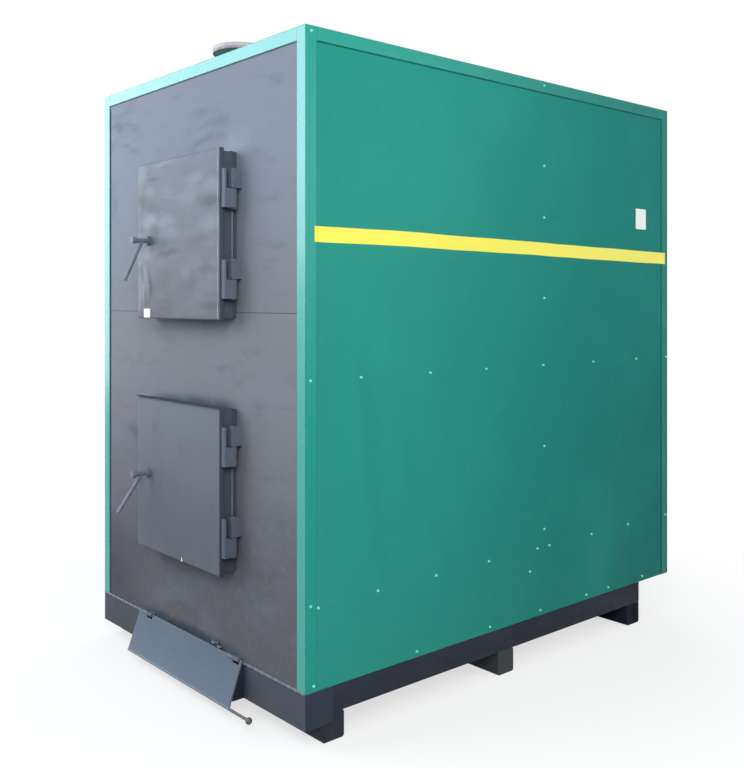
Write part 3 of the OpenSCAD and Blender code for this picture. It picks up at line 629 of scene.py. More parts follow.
# hexagon-headed screw with its washer, set on every point and turned to its facing
def makeScrewTree(settings):
    tree, given = newShapeTree("screwField", {
        "Washer Radius": "Float", "Washer Height": "Float", "Head Radius": "Float", "Head Height": "Float",
        "Seed": "Int"})

    def lifted(geometry, height):
        up = addNode(tree, "ShaderNodeCombineXYZ", {"Z": height}).outputs[0]
        return addNode(tree, "GeometryNodeTransform", {"Geometry": geometry, "Translation": up}).outputs[0]

    washer = addNode(tree, "GeometryNodeMeshCone", {
        "Vertices": settings["washerSides"], "Radius Bottom": given["Washer Radius"],
        "Radius Top": mathNode(tree, "MULTIPLY", given["Washer Radius"], settings["washerTop"]),
        "Depth": given["Washer Height"]})
    head = addNode(tree, "GeometryNodeMeshCylinder", {
        "Vertices": settings["headSides"], "Radius": given["Head Radius"], "Depth": given["Head Height"]})
    crown = addNode(tree, "GeometryNodeMeshCone", {
        "Vertices": settings["headSides"], "Radius Bottom": given["Head Radius"],
        "Radius Top": mathNode(tree, "MULTIPLY", given["Head Radius"], settings["crownTop"]),
        "Depth": mathNode(tree, "MULTIPLY", given["Head Height"], settings["crownHeight"])})
    headFoot = given["Washer Height"]
    headMiddle = mathNode(tree, "MULTIPLY_ADD", given["Head Height"], 0.5, headFoot)
    headTop = mathNode(tree, "ADD", given["Head Height"], headFoot)
    joined = addNode(tree, "GeometryNodeJoinGeometry")
    for part in (washer.outputs[0], lifted(head.outputs[0], headMiddle), lifted(crown.outputs[0], headTop)):
        tree.links.new(part, joined.inputs[0])
    facing = addNode(tree, "GeometryNodeInputNamedAttribute", {"Name": "facing"}, data_type="FLOAT_VECTOR")
    aligned = addNode(tree, "FunctionNodeAlignRotationToVector", {"Vector": facing.outputs[0]}, axis="Z")
    spin = addNode(tree, "FunctionNodeRandomValue", {3: math.tau, "Seed": given["Seed"]}, data_type="FLOAT")
    turn = addNode(tree, "FunctionNodeEulerToRotation",
                   {0: addNode(tree, "ShaderNodeCombineXYZ", {"Z": spin.outputs[1]}).outputs[0]})
    turned = addNode(tree, "FunctionNodeRotateRotation", {0: aligned.outputs[0], 1: turn.outputs[0]},
                     rotation_space="LOCAL")
    fastened = addNode(tree, "GeometryNodeInstanceOnPoints", {
        "Points": given["Geometry"], "Instance": joined.outputs[0], "Rotation": turned.outputs[0]})
    return endShapeTree(tree, fastened.outputs[0], given["Material"])


# the casing as its corner angles stand: front, foot and leaf width serve all that is laid on it
trimLow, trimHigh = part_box("corner_trim_front_right")
trimFront, trimFoot, trimX = trimLow.y, trimLow.z, trimHigh.x
trimTop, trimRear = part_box("top_trims")[1].z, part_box("corner_trim_rear_right")[1].y
trimLeaf = trimHigh.x - trimLow.x
panelX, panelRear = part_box("side_panel_right")[1].x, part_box("rear_panel")[1].y
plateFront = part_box("front_plate_upper")[0].y

# places in metres: along the casing from its front, across it from its middle, and up from its foot
screwSettings = {
    "washerRadius": 0.0050, "washerHeight": 0.0010, "washerSides": 14, "washerTop": 0.82,
    "headRadius": 0.0035, "headHeight": 0.0030, "headSides": 6, "crownTop": 0.7, "crownHeight": 0.25,
    "seed": 3,
    "sideRows": [
        (0.888, [0.018, 0.208, 0.496, 0.759, 1.059, 1.356, 1.639, 1.850]),
        (0.240, [0.275, 0.522, 0.772, 1.027, 1.094, 1.344, 1.583, 1.846]),
        (0.018, [0.029, 0.437, 0.777, 1.043, 1.311, 1.452, 1.680]),
        (1.884, [0.021, 1.062]),
    ],
    "sideColumn": (1.065, [1.598, 1.414, 1.127, 0.599, 0.303]),
    "sideStray": [(0.018, 0.247), (0.047, 0.236), (0.986, 0.165)],
    "rearRows": [(0.888, [-0.62, -0.31, 0.0, 0.31, 0.62]), (0.240, [-0.62, -0.45, 0.02, 0.31, 0.62]),
                 (0.018, [-0.54, -0.18, 0.18, 0.54]), (1.884, [-0.62, 0.0, 0.62])],
    "roofRows": [(-0.62, [0.02, 0.62, 1.24, 1.84]), (0.62, [0.02, 0.62, 1.24, 1.84]), (0.0, [1.84])],
}


def makeScrews(settings):
    length, topLeaf = trimRear - trimFront, trimTop - trimFoot - trimLeaf
    places, facings = [], []
    spots = [(along, up) for up, row in settings["sideRows"] for along in row]
    spots += [(settings["sideColumn"][0], up) for up in settings["sideColumn"][1]] + settings["sideStray"]
    for along, up in spots:
        onTrim = along < trimLeaf or along > length - trimLeaf or up > topLeaf
        for side in (1.0, -1.0):
            places.append((side * (trimX if onTrim else panelX), trimFront + along, trimFoot + up))
            facings.append((side, 0.0, 0.0))
    for up, row in settings["rearRows"]:
        for across in row:
            onTrim = abs(across) > trimX - trimLeaf or up > topLeaf
            places.append((across, trimRear if onTrim else panelRear, trimFoot + up))
            facings.append((0.0, 1.0, 0.0))
    for across, row in settings["roofRows"]:
        for along in row:
            places.append((across, trimFront + along, trimTop))
            facings.append((0.0, 0.0, 1.0))
    mesh = meshFrom("screwPoints", places, [])
    facing = mesh.attributes.new("facing", "FLOAT_VECTOR", "POINT")
    facing.data.foreach_set("vector", [part for vector in facings for part in vector])
    grown = grow("casingScrews", makeScrewTree(settings), mesh, {
        "Washer Radius": settings["washerRadius"], "Washer Height": settings["washerHeight"],
        "Head Radius": settings["headRadius"], "Head Height": settings["headHeight"],
        "Seed": settings["seed"], "Material": finishes["zincSteel"]})
    makePiece("casingScrews", grown, "zincSteel", "boiler")
    print("casing screws:", len(places))


makeScrews(screwSettings)

# yellow tape along both sides, hand-laid, so it wanders a little
tapeSettings = {
    "route": [(0.033, 1.307), (0.367, 1.3085), (0.681, 1.3045), (0.988, 1.3025), (1.157, 1.2995),
              (1.401, 1.2965), (1.739, 1.293), (1.843, 1.292)],
    "width": 0.046, "thickness": 0.0005, "steps": 240, "stepDown": (0.0405, 0.052), "stepUp": (1.806, 1.8195),
    "edgeWander": 0.0006, "wanderPitch": 9.0, "wanderSeed": 0.5,
}
# painted light: the tape grows paler towards the rear, to stay bright where less light reaches
tapeLook = {
    "front": (249, 240, 58), "rear": (255, 247, 108), "fade": (-0.6, 1.0), "roughness": (0.38, 0.52),
    "smudge": dict(scale=5.0, stretch=(1.0, 0.4, 3.0), span=(0.45, 0.75), share=0.5, tone=(250, 238, 88),
                   seed=97.0),
    "grime": dict(scale=38.0, span=(0.6, 0.75), share=0.15, tone=(190, 176, 90), seed=101.0),
    "waveScale": 14.0, "waveHeight": 0.0012, "skinScale": 300.0, "skinHeight": 0.00003,
}


def makeTapePaint(look):
    material, tree, surface = newMaterial("stripeTape")
    depth = placeParts(tree)["Y"]
    colour = mixTone(tree, remap(tree, depth, *look["fade"]), tone(*look["front"]), tone(*look["rear"]))
    smudge, grime = smudgeMask(tree, look["smudge"]), smudgeMask(tree, look["grime"])
    colour = lay(tree, colour, smudge, look["smudge"]["share"], look["smudge"]["tone"])
    colour = lay(tree, colour, grime, look["grime"]["share"], look["grime"]["tone"])
    fillSockets(tree, surface, {"Base Color": colour, "Normal": reliefBump(tree, look),
                                "Roughness": remap(tree, smudge, 0.0, 1.0, *look["roughness"])})
    return material


def routeHeight(route, along):
    for (startY, startZ), (endY, endZ) in zip(route, route[1:]):
        if along <= endY:
            return startZ + (endZ - startZ) * eased((along - startY) / (endY - startY))
    return route[-1][1]


def makeTape(name, side, settings):
    start, end = settings["route"][0][0], settings["route"][-1][0]
    (downStart, downEnd), (upStart, upEnd) = settings["stepDown"], settings["stepUp"]
    points, steps = [], settings["steps"]
    for step in range(steps + 1):
        along = start + (end - start) * step / steps
        middle = trimFoot + routeHeight(settings["route"], along)
        rear, near = (along - upStart) / (upEnd - upStart), (downEnd - along) / (downEnd - downStart)
        seat = panelX + (trimX - panelX) * min(max(rear, near, 0.0), 1.0)
        outer = seat + settings["thickness"]
        swing = noise.noise(Vector((along * settings["wanderPitch"], side, settings["wanderSeed"])))
        half = settings["width"] / 2 - settings["edgeWander"] * swing
        loop = ((seat, -half), (outer, -half), (outer, half), (seat, half))
        points += [(side * x, trimFront + along, middle + rise) for x, rise in loop]
    last = steps * 4
    faces = stitch(0, steps + 1, 4) + [(3, 2, 1, 0), (last, last + 1, last + 2, last + 3)]
    if side > 0:
        faces = [tuple(reversed(face)) for face in faces]
    makePiece(name, meshFrom(name, points, faces), "stripeTape", "boiler")


finishes["stripeTape"] = makeTapePaint(tapeLook)
makeTape("stripeRight", 1.0, tapeSettings)
makeTape("stripeLeft", -1.0, tapeSettings)
print("stripes laid")

# blank white plates and stickers
blankLook = {
    "clean": (250, 253, 254), "soiled": (240, 246, 246), "roughness": (0.4, 0.6),
    "smudge": dict(scale=30.0, span=(0.45, 0.75), seed=103.0),
    "waveScale": 40.0, "waveHeight": 0.0006, "skinScale": 600.0, "skinHeight": 0.00003,
}


def makeBlankWhite(look):
    material, tree, surface = newMaterial("blankWhite")
    mask = smudgeMask(tree, look["smudge"])
    colour = mixTone(tree, mask, tone(*look["clean"]), tone(*look["soiled"]))
    fillSockets(tree, surface, {"Base Color": colour, "Normal": reliefBump(tree, look),
                                "Roughness": remap(tree, mask, 0.0, 1.0, *look["roughness"])})
    return material


finishes["blankWhite"] = makeBlankWhite(blankLook)

# plates lie flat on a face: their low and high corners are along x or y, and up, in metres
plateSettings = {
    "sideLabel": {"body": "boiler", "across": "y", "low": (0.775, 1.563), "high": (0.844, 1.644),
                  "corner": 0.003, "seat": panelX, "thickness": 0.0012},
    "doorSticker": {"body": "upper_door", "across": "x", "low": (-0.202, 1.220), "high": (-0.160, 1.250),
                    "corner": 0.002, "seat": -0.9250, "thickness": 0.0024},
}


def roundedCorners(low, high, radius, steps=5):
    centres = [(high[0] - radius, high[1] - radius), (low[0] + radius, high[1] - radius),
               (low[0] + radius, low[1] + radius), (high[0] - radius, low[1] + radius)]
    loop = []
    for quarter, (x, z) in enumerate(centres):
        for step in range(steps + 1):
            angle = math.pi / 2 * (quarter + step / steps)
            loop.append((x + radius * math.cos(angle), z + radius * math.sin(angle)))
    return loop


def makePlate(name, settings):
    loop = roundedCorners(settings["low"], settings["high"], settings["corner"])
    seat, thickness, count = settings["seat"], settings["thickness"], len(loop)
    if settings["across"] == "y":
        points = [(seat + lift, y, z) for lift in (0.0, thickness) for y, z in loop]
    else:
        points = [(x, seat - lift, z) for lift in (-thickness, 0.0) for x, z in loop]
    faces = [tuple(reversed(range(count))), tuple(range(count, 2 * count))] + stitch(0, 2, count)
    makePiece(name, meshFrom(name, points, faces), "blankWhite", settings["body"])


for plateName, plate in plateSettings.items():
    makePlate(plateName, plate)
print("blank plates set")

# skin of a door's face: thin plate pulled by heat and knocks; a fold is x, width, foot, head and rise
skinSettings = {
    "upperDoorSkin": {
        "leaf": "upper_door_leaf", "body": "upper_door", "finish": "upperDoorPaint", "relief": 0.0026,
        "scale": 9.0, "seed": 2.0,
        "folds": [(-0.195, 0.012, 1.23, 1.40, 0.0022), (-0.172, 0.010, 1.24, 1.36, 0.0016)]},
    "lowerDoorSkin": {
        "leaf": "lower_door_leaf", "body": "lower_door", "finish": "lowerDoorPaint", "relief": 0.0012,
        "scale": 6.0, "seed": 9.0, "folds": []},
}
skinShape = {
    "face": -0.922, "cells": 90, "inset": 0.0003, "edge": 0.022, "base": 0.0003, "sunk": 0.002,
    "slow": (1.0, 1.5), "quick": (2.3, 3.1), "slowShare": 0.72, "quickShare": 0.28, "quickSeed": 4.0,
}


def skinRelief(settings, x, z):
    scale, seed = settings["scale"], settings["seed"]
    (slowX, slowZ), (quickX, quickZ) = skinShape["slow"], skinShape["quick"]
    slow = noise.noise(Vector((x * scale * slowX, seed, z * scale * slowZ)))
    quick = noise.noise(Vector((x * scale * quickX, seed + skinShape["quickSeed"], z * scale * quickZ)))
    wave = skinShape["slowShare"] * slow + skinShape["quickShare"] * quick
    height = settings["relief"] * (0.5 + 0.5 * wave)
    for middle, width, foot, head, rise in settings["folds"]:
        inside = max(0.0, math.sin(math.pi * min(max((z - foot) / (head - foot), 0.0), 1.0)))
        height += rise * inside * math.exp(-((x - middle) / width) ** 2)
    return height


def makeSkin(name, settings):
    low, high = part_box(settings["leaf"])
    cells, inset, face = skinShape["cells"], skinShape["inset"], skinShape["face"]
    xs = [low.x + inset + (high.x - low.x - 2 * inset) * i / cells for i in range(cells + 1)]
    zs = [low.z + inset + (high.z - low.z - 2 * inset) * i / cells for i in range(cells + 1)]
    points, faces = [], []
    for z in zs:
        for x in xs:
            near = min(x - xs[0], xs[-1] - x, z - zs[0], zs[-1] - z)
            share = eased(min(near / skinShape["edge"], 1.0))
            points.append((x, face - (skinShape["base"] + share * skinRelief(settings, x, z)), z))
    row = cells + 1
    for j in range(cells):
        for i in range(cells):
            first = j * row + i
            faces.append((first, first + 1, first + row + 1, first + row))
    border = list(range(row)) + [j * row + cells for j in range(1, row)]
    border += [cells * row + i for i in range(cells - 1, -1, -1)] + [j * row for j in range(cells - 1, 0, -1)]
    back, count = len(points), len(border)
    points += [(points[i][0], face + skinShape["sunk"], points[i][2]) for i in border]
    faces += [(border[i], back + i, back + (i + 1) % count, border[(i + 1) % count]) for i in range(count)]
    faces.append(tuple(back + i for i in reversed(range(count))))
    mesh = meshFrom(name, points, faces)
    mesh.polygons.foreach_set("use_smooth", [len(p.vertices) == 4 for p in mesh.polygons])
    makePiece(name, mesh, settings["finish"], settings["body"])


for skinName, skin in skinSettings.items():
    makeSkin(skinName, skin)
print("door skins drawn")


# round bar, rope or weld bead along a path, rippled along its length
def makeTubeTree():
    tree, given = newShapeTree("pathTube", {"Radius": "Float", "Step": "Float", "Ripple": "Float",
                                            "Pitch": "Float", "Sides": "Int"})
    path = addNode(tree, "GeometryNodeMeshToCurve", {0: given["Geometry"]})
    even = addNode(tree, "GeometryNodeResampleCurve", {"Curve": path.outputs[0], "Length": given["Step"]},
                   mode="LENGTH")
    along = addNode(tree, "GeometryNodeSplineParameter").outputs["Length"]
    turns = mathNode(tree, "DIVIDE", along, given["Pitch"])
    swing = mathNode(tree, "SINE", mathNode(tree, "MULTIPLY", turns, math.tau))
    swell = mathNode(tree, "MULTIPLY_ADD", swing, given["Ripple"], 1.0)
    ring = addNode(tree, "GeometryNodeCurvePrimitiveCircle", {"Resolution": given["Sides"],
                                                              "Radius": given["Radius"]})
    tube = addNode(tree, "GeometryNodeCurveToMesh", {
        "Curve": even.outputs[0], "Profile Curve": ring.outputs[0], "Scale": swell, "Fill Caps": True})
    smooth = addNode(tree, "GeometryNodeSetShadeSmooth", {"Geometry": tube.outputs[0]})
    return endShapeTree(tree, smooth.outputs[0], given["Material"])


tubeTree = makeTubeTree()
plainTube = {"ripple": 0.0, "pitch": 0.01, "sides": 8}


# paths are lists of points, each with a mark for a closed one; a bead gives radius, step and ripple
def makeTubes(name, paths, finish, body, bead):
    points, edges = [], []
    for route, closed in paths:
        first = len(points)
        points += route
        edges += [(first + i, first + i + 1) for i in range(len(route) - 1)]
        if closed:
            edges.append((first + len(route) - 1, first))
    mesh = bpy.data.meshes.new(name + "Path")
    mesh.from_pydata(points, edges, [])
    shape = {**plainTube, **bead}
    grown = grow(name, tubeTree, mesh, {
        "Radius": shape["radius"], "Step": shape["step"], "Ripple": shape["ripple"], "Pitch": shape["pitch"],
        "Sides": shape["sides"], "Material": finishes[finish]})
    makePiece(name, grown, finish, body)


# braided rope in each door's tray, pressed on its frame when shut
ropeSettings = {"inset": 0.030, "corner": 0.025, "middle": -0.9122,
                "bead": {"radius": 0.0044, "step": 0.004, "ripple": 0.05, "pitch": 0.012}}


def makeRope(doorName, settings):
    low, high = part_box(doorName + "_door_leaf")
    inset, middle = settings["inset"], settings["middle"]
    loop = roundedCorners((low.x + inset, low.z + inset), (high.x - inset, high.z - inset),
                          settings["corner"])
    makeTubes(doorName + "SealRope", [([(x, middle, z) for x, z in loop], True)], "sealRope",
              doorName + "_door", settings["bead"])


for doorName in ("upper", "lower"):
    makeRope(doorName, ropeSettings)
print("seal ropes laid")

# weld beads round the door frames, broken at the hinges, and along the apron's upper edge
weldSettings = {
    "bead": {"radius": 0.0034, "step": 0.0025, "ripple": 0.12, "pitch": 0.0075},
    "ledgeBead": {"radius": 0.0042, "step": 0.0025, "ripple": 0.3, "pitch": 0.034},
    "ledgeInset": 0.004, "ledgeProud": 0.001, "seamSetback": 0.016, "proud": 0.0004, "hingeClear": 0.079,
}


def makeWelds(settings):
    seam, proud, clear = plateFront - settings["seamSetback"], settings["proud"], settings["hingeClear"]
    routes, darkTopRoutes, frameSideShades, topDarkStrips = [], [], [], []
    for doorName in ("upper", "lower"):
        low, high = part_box(doorName + "_door_frame")
        middle = (low.z + high.z) / 2
        routes.append(([(high.x, seam, middle - clear), (high.x, seam, middle + clear)], False))
        routes.append(([(high.x, seam, low.z), (low.x, seam, low.z), (low.x, seam, high.z)], False))
        # dark weld bead along each frame's top
        darkTopRoutes.append(([(low.x, seam, high.z), (high.x, seam, high.z)], False))
        # painted shade: darker skins on each frame's sides and foot, from the weld seam back to the plate
        for left, foot, right, head in ((low.x - proud, low.z - proud, low.x, high.z + proud),
                                        (high.x, low.z - proud, high.x + proud, high.z + proud),
                                        (low.x, low.z - proud, high.x, low.z)):
            frameSideShades.append(((left, seam, foot), (right, plateFront, head)))
        # dark strip along each frame's top
        topDarkStrips.append(((low.x, low.y + proud, high.z), (high.x, plateFront, high.z + proud)))
    makeTubes("frameWelds", routes, "weldPaint", "boiler", settings["bead"])
    makeTubes("sootyWelds", darkTopRoutes, "frontGapShade", "boiler", settings["bead"])
    makeBoxes("frameCollars", frameSideShades, "collarPaint", "boiler")
    makeBoxes("frameSoot", topDarkStrips, "frontGapShade", "boiler")
    low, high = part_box("front_apron")
    ledgeY, inset = plateFront - settings["ledgeProud"], settings["ledgeInset"]
    ledge = [(low.x + inset, ledgeY, high.z), (high.x - inset, ledgeY, high.z)]
    makeTubes("apronBead", [(ledge, False)], "beadPaint", "boiler", settings["ledgeBead"])
    # painted shade on the outer faces of the apron's side returns
    returnShades = [((side - proud, low.y + proud, low.z), (side + proud, high.y, high.z - proud))
               for side in (low.x, high.x)]
    makeBoxes("apronReturns", returnShades, "returnPaint", "boiler")


makeWelds(weldSettings)
print("weld beads drawn")

# dark strip on the lower door's upper edge
doorTopDarkSettings = {"proud": 0.0003, "inset": 0.001}


def makeDoorTopDark(settings):
    low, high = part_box("lower_door_leaf")
    proud, inset = settings["proud"], settings["inset"]
    layer = ((low.x + inset, low.y + inset, high.z - proud), (high.x - inset, high.y, high.z + proud))
    makeBoxes("doorSoot", [layer], "frontGapShade", "lower_door")


makeDoorTopDark(doorTopDarkSettings)

# the upper door's hinge side has a pale steel bead along its front corner, a painted highlight, and both
# doors' hinge sides carry painted shade on their rear part
doorEdgeLightSettings = {
    "bead": {"radius": 0.0008, "step": 0.004, "ripple": 0.3, "pitch": 0.09},
    "sunk": 0.0006, "forward": 0.0001, "inset": 0.004, "shadeStart": 0.0065, "proud": 0.0003,
}


def makeDoorEdgeLightAndShade(settings):
    low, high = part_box("upper_door_leaf")
    x, y, inset = high.x - settings["sunk"], low.y - settings["forward"], settings["inset"]
    makeTubes("doorRub", [([(x, y, low.z + inset), (x, y, high.z - inset)], False)], "rimSteel", "upper_door",
              settings["bead"])
    proud = settings["proud"]
    for doorName in ("upper", "lower"):
        low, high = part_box(doorName + "_door_leaf")
        shade = ((high.x - proud, low.y + settings["shadeStart"], low.z + proud),
                 (high.x + proud, high.y - proud, high.z - proud))
        makeBoxes(doorName + "LeafShade", [shade], "collarPaint", doorName + "_door")


makeDoorEdgeLightAndShade(doorEdgeLightSettings)
print("soot and rubbed edges laid")

# bent wire keeper above the flap
keeperSettings = {
    "bead": {"radius": 0.0028, "step": 0.002},
    "route": [(0.150, -0.866, 0.184), (0.160, -0.871, 0.181), (0.168, -0.874, 0.183), (0.176, -0.872, 0.188),
              (0.181, -0.866, 0.186), (0.178, -0.864, 0.178), (0.186, -0.868, 0.176), (0.197, -0.871, 0.177),
              (0.206, -0.868, 0.180)],
}
makeTubes("flapKeeper", [(keeperSettings["route"], False)], "leverSteel", "boiler",
          keeperSettings["bead"])
print("keeper bent")

# bare steel of the flap's lifting rod and its ball
rodSettings = {"ball": 0.010, "rod": 0.004, "start": 0.3305, "proud": 0.0003, "rings": 16, "step": 0.006}


def makeRod(settings):
    low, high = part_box("air_flap")
    ball, rings = settings["ball"], settings["rings"]
    middle = (high.x - ball, low.y + ball, low.z + ball)
    bead = {"radius": settings["rod"] + settings["proud"], "step": settings["step"], "sides": rings}
    makeTubes("liftingRod", [([(settings["start"], *middle[1:]), middle], False)], "rodSteel", "flap_leaf",
              bead)
    sphere = bmesh.new()
    bmesh.ops.create_uvsphere(sphere, u_segments=2 * rings, v_segments=rings, radius=ball + settings["proud"])
    bmesh.ops.translate(sphere, verts=sphere.verts, vec=middle)
    for face in sphere.faces:
        face.smooth = True
    mesh = bpy.data.meshes.new("rodBall")
    sphere.to_mesh(mesh)
    sphere.free()
    makePiece("rodBall", mesh, "rodSteel", "flap_leaf")


makeRod(rodSettings)
print("lifting rod drawn")

# painted shade: dark strips where the sheets run in under the trims, wider beside the left front trim, and
# along the rear trims' outer edges
gapSettings = {"width": 0.0042, "proud": 0.0003, "headWidth": 0.00392, "leftWidth": 0.010, "edge": 0.007}


def makeGaps(settings):
    width, proud = settings["width"], settings["proud"]
    top, foot, front, rear = trimTop - trimLeaf, trimFoot, trimFront + trimLeaf, trimRear - trimLeaf
    right, joints = trimX - trimLeaf, []
    left = -right
    for side in (1.0, -1.0):
        inner, outer = sorted((side * (panelX - proud), side * (panelX + proud)))
        joints.append(((inner, front, top - width), (outer, rear, top)))
        joints.append(((inner, rear - width, foot), (outer, rear, top - width)))
        inner, outer = sorted((side * (trimX - proud), side * (trimX + proud)))
        # painted shade along each rear trim's outer edge
        joints.append(((inner, trimRear - settings["edge"], foot), (outer, trimRear, trimTop)))
    inner, outer = panelRear - proud, panelRear + proud
    joints.append(((left, inner, top - width), (right, outer, top)))
    joints.append(((left, inner, foot), (left + width, outer, top - width)))
    joints.append(((right - width, inner, foot), (right, outer, top - width)))
    makeBoxes("sheetJoints", joints, "gapShade", "boiler")
    inner, outer, head = plateFront - proud, plateFront + proud, top - settings["headWidth"]
    joints = [((left, inner, head), (right, outer, top)),
              ((left, inner, foot), (left + settings["leftWidth"], outer, head))]
    makeBoxes("frontJoints", joints, "frontGapShade", "boiler")


makeGaps(gapSettings)
print("joints shaded")


# ring of points round a pipe that runs along y or z
def pipeRing(axis, low, high, radius, along, steps):
    middle = (low + high) / 2
    ring = []
    for i in range(steps):
        across, up = radius * math.cos(math.tau * i / steps), radius * math.sin(math.tau * i / steps)
        ring.append((middle.x + across, middle.y + up, along) if axis == "z"
                    else (middle.x + across, along, middle.z + up))
    return ring


# the front leaves of the trims take a glossier coat, painted paler towards the top as painted glare; the roof
# flange's rim gets a pale steel ring, a painted highlight
faceSettings = {"proud": 0.0003, "rimSteps": 72, "rimDepth": 0.012, "rimChamfer": 0.002, "rimWidth": 0.016}


def makeFaces(settings):
    proud, right, top = settings["proud"], trimX - trimLeaf, trimTop
    spans = [(-trimX, trimFoot, -right), (right, trimFoot, trimX),
             (proud - right, top - trimLeaf, right - proud)]
    leaves = [((start, trimFront - proud, foot), (end, trimFront + proud, top - proud))
              for start, foot, end in spans]
    makeBoxes("frontTrimFaces", leaves, "frontTrimPaint", "boiler")
    # painted highlight: a pale steel ring over the supply flange's top rim
    low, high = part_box("supply_flange")
    radius, foot, head = (high.x - low.x) / 2, high.z - settings["rimDepth"], high.z + proud
    rounded, inner = radius - settings["rimChamfer"], radius - settings["rimWidth"]
    steps = settings["rimSteps"]
    profile = [(rounded, foot), (radius + proud, foot), (radius + proud, high.z - settings["rimChamfer"]),
               (rounded, head), (inner, head), (inner, high.z)]
    points = [point for reach, along in profile for point in pipeRing("z", low, high, reach, along, steps)]
    mesh = meshFrom("flangeRim", points, stitch(0, len(profile), steps, closed=True))
    makePiece("flangeRim", mesh, "rimSteel", "boiler")


makeFaces(faceSettings)
print("faces coated")

# welds behind the pipe flanges, and the rust and soot inside the pipes
pipeSettings = {
    "wall": 0.004, "skin": 0.0004, "short": 0.002, "steps": 64,
    "bead": {"radius": 0.0038, "step": 0.003, "ripple": 0.12, "pitch": 0.009},
    "pipes": [("z", "supply_pipe", "supply_flange"), ("y", "return_pipe", "return_flange"),
              ("y", "flue_duct", "flue_flange")],
}


def makePipeDetails(settings):
    routes, points, faces, steps = [], [], [], settings["steps"]
    for axis, pipe, flange in settings["pipes"]:
        low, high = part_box(pipe)
        radius, end = (high.x - low.x) / 2, getattr(high, axis) - settings["short"]
        start, seat = getattr(low, axis), getattr(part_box(flange)[0], axis)
        routes.append((pipeRing(axis, low, high, radius, seat, steps), True))
        bore, skin = radius - settings["wall"], settings["skin"]
        profile = [(bore - skin, start), (bore - skin, end), (bore + skin, end), (bore + skin, start)]
        faces += stitch(len(points), len(profile), steps, closed=True)
        for reach, along in profile:
            points += pipeRing(axis, low, high, reach, along, steps)
    makeTubes("pipeWelds", routes, "flangePaint", "boiler", settings["bead"])
    mesh = meshFrom("pipeSoot", points, faces)
    solid = bmesh.new()
    solid.from_mesh(mesh)
    bmesh.ops.recalc_face_normals(solid, faces=solid.faces)
    solid.to_mesh(mesh)
    solid.free()
    makePiece("pipeSoot", mesh, "sootySteel", "boiler")


makePipeDetails(pipeSettings)
print("pipes dressed")

# run of pale paint on the lower door's foot; a part is its rise and its radius
dripSettings = {
    "x": 0.054, "foot": 0.4285, "face": -0.9232, "flatten": 0.5, "sides": 10,
    "parts": [(0.0, 0.0030), (0.003, 0.0036), (0.007, 0.0026), (0.011, 0.0014), (0.015, 0.0005)],
}


def makeDrip(settings):
    points, sides, rings = [], settings["sides"], len(settings["parts"])
    for rise, radius in settings["parts"]:
        for i in range(sides):
            angle = math.tau * i / sides
            points.append((settings["x"] + radius * math.cos(angle),
                           settings["face"] + settings["flatten"] * radius * math.sin(angle),
                           settings["foot"] + rise))
    last = (rings - 1) * sides
    faces = stitch(0, rings, sides) + [tuple(reversed(range(sides))), tuple(range(last, last + sides))]
    mesh = meshFrom("paintRun", points, faces)
    mesh.polygons.foreach_set("use_smooth", [True] * len(mesh.polygons))
    makePiece("paintRun", mesh, "blankWhite", "lower_door")


makeDrip(dripSettings)
print("paint run drawn")

# floor, backdrop and lights
stageSettings = {
    "floorHalf": 40.0, "floorTone": (250, 250, 251), "bounceTone": (140, 140, 142), "floorRoughness": 0.9,
    "fade": (0.9, 2.2), "lift": 0.68, "skyTone": (0.95, 0.98, 1.0), "skyStrength": 0.46,
    "cards": [
        dict(name="frontCard", place=(-2.2, -3.4, 2.7), aim=(0.0, -0.86, 1.4),
             size=(3.2, 2.5), glow=4.2, tone=(0.88, 0.97, 1.06)),
        dict(name="sideCard", place=(3.1, -2.6, 2.7), aim=(0.64, -0.4, 1.2),
             size=(2.0, 1.8), glow=7.6, tone=(1.0, 1.0, 0.98)),
        dict(name="sideFill", place=(4.6, 2.6, 2.2), aim=(0.64, 0.7, 1.2),
             size=(2.0, 2.0), glow=4.4, tone=(1.0, 1.0, 1.0)),
        dict(name="topCard", place=(0.0, 0.2, 6.0), aim=(0.0, 0.1, 2.0),
             size=(4.0, 4.0), glow=1.2, tone=(0.97, 0.99, 1.0)),
        dict(name="rearCard", place=(-3.6, 4.6, 3.4), aim=(-0.2, 0.9, 1.1),
             size=(3.4, 3.0), glow=2.6, tone=(1.0, 1.0, 1.0)),
        dict(name="skyGlare", place=(-4.4, -2.1, 1.9), aim=(-0.5, -0.86, 1.7),
             size=(1.3, 2.6), glow=4.6, tone=(0.92, 0.98, 1.0), glossOnly=True),
    ],
}


def seenDirectly(tree):
    path = addNode(tree, "ShaderNodeLightPath").outputs
    either = mathNode(tree, "MAXIMUM", path["Is Camera Ray"], path["Is Glossy Ray"])
    return mathNode(tree, "MAXIMUM", either, path["Is Transmission Ray"])


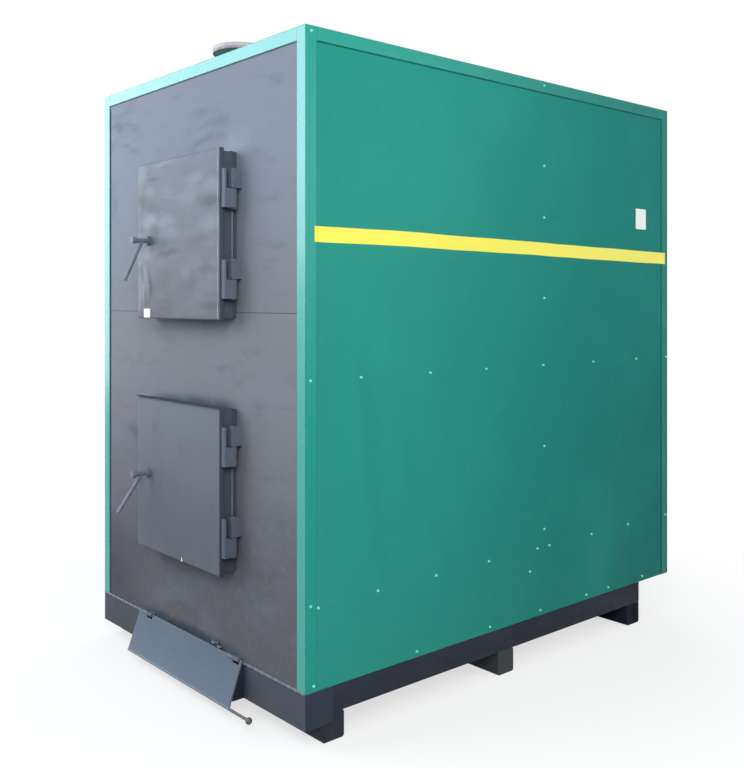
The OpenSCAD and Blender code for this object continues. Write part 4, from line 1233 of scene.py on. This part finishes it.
def makeStage(settings):
    half = settings["floorHalf"]
    corners = [(-half, -half, 0.0), (half, -half, 0.0), (half, half, 0.0), (-half, half, 0.0)]
    floor = bpy.data.objects.new("studioFloor", meshFrom("studioFloor", corners, [(0, 1, 2, 3)]))
    scene.collection.objects.link(floor)
    material, tree, surface = newMaterial("studioFloor")
    direct = seenDirectly(tree)
    fillSockets(tree, surface, {
        "Base Color": mixTone(tree, direct, tone(*settings["bounceTone"]), tone(*settings["floorTone"])),
        "Roughness": settings["floorRoughness"], "Specular IOR Level": 0.0})
    distance = vectorNode(tree, "LENGTH", place(tree))["Value"]
    away = remap(tree, distance, *settings["fade"], settings["lift"], 1.0)
    white = addNode(tree, "ShaderNodeEmission", {"Strength": 1.0}).outputs[0]
    share = mathNode(tree, "MULTIPLY", away, direct)
    blend = addNode(tree, "ShaderNodeMixShader", {0: share, 1: surface.outputs[0], 2: white})
    tree.links.new(blend.outputs[0], tree.nodes["Material Output"].inputs["Surface"])
    floor.data.materials.append(material)
    world = bpy.data.worlds.new("studioWorld")
    world.use_nodes = True
    scene.world = world
    tree = world.node_tree
    sky = fillSockets(tree, tree.nodes["Background"], {"Color": (*settings["skyTone"], 1.0),
                                                       "Strength": settings["skyStrength"]})
    backdrop = addNode(tree, "ShaderNodeBackground", {"Color": (1.0, 1.0, 1.0, 1.0), "Strength": 1.0})
    blend = addNode(tree, "ShaderNodeMixShader", {0: seenDirectly(tree), 1: sky.outputs[0],
                                                  2: backdrop.outputs[0]})
    tree.links.new(blend.outputs[0], tree.nodes["World Output"].inputs["Surface"])
    for card in settings["cards"]:
        lamp = bpy.data.lights.new(card["name"], "AREA")
        lamp.shape = "RECTANGLE"
        lamp.size, lamp.size_y = card["size"]
        lamp.energy = card["glow"] * math.pi * card["size"][0] * card["size"][1]
        lamp.color = card["tone"]
        holder = bpy.data.objects.new(card["name"], lamp)
        holder.location = card["place"]
        aim = Vector(card["aim"]) - Vector(card["place"])
        holder.rotation_euler = aim.to_track_quat("-Z", "Y").to_euler()
        holder.visible_diffuse = not card.get("glossOnly", False)
        scene.collection.objects.link(holder)


makeStage(stageSettings)
print("stage lit")
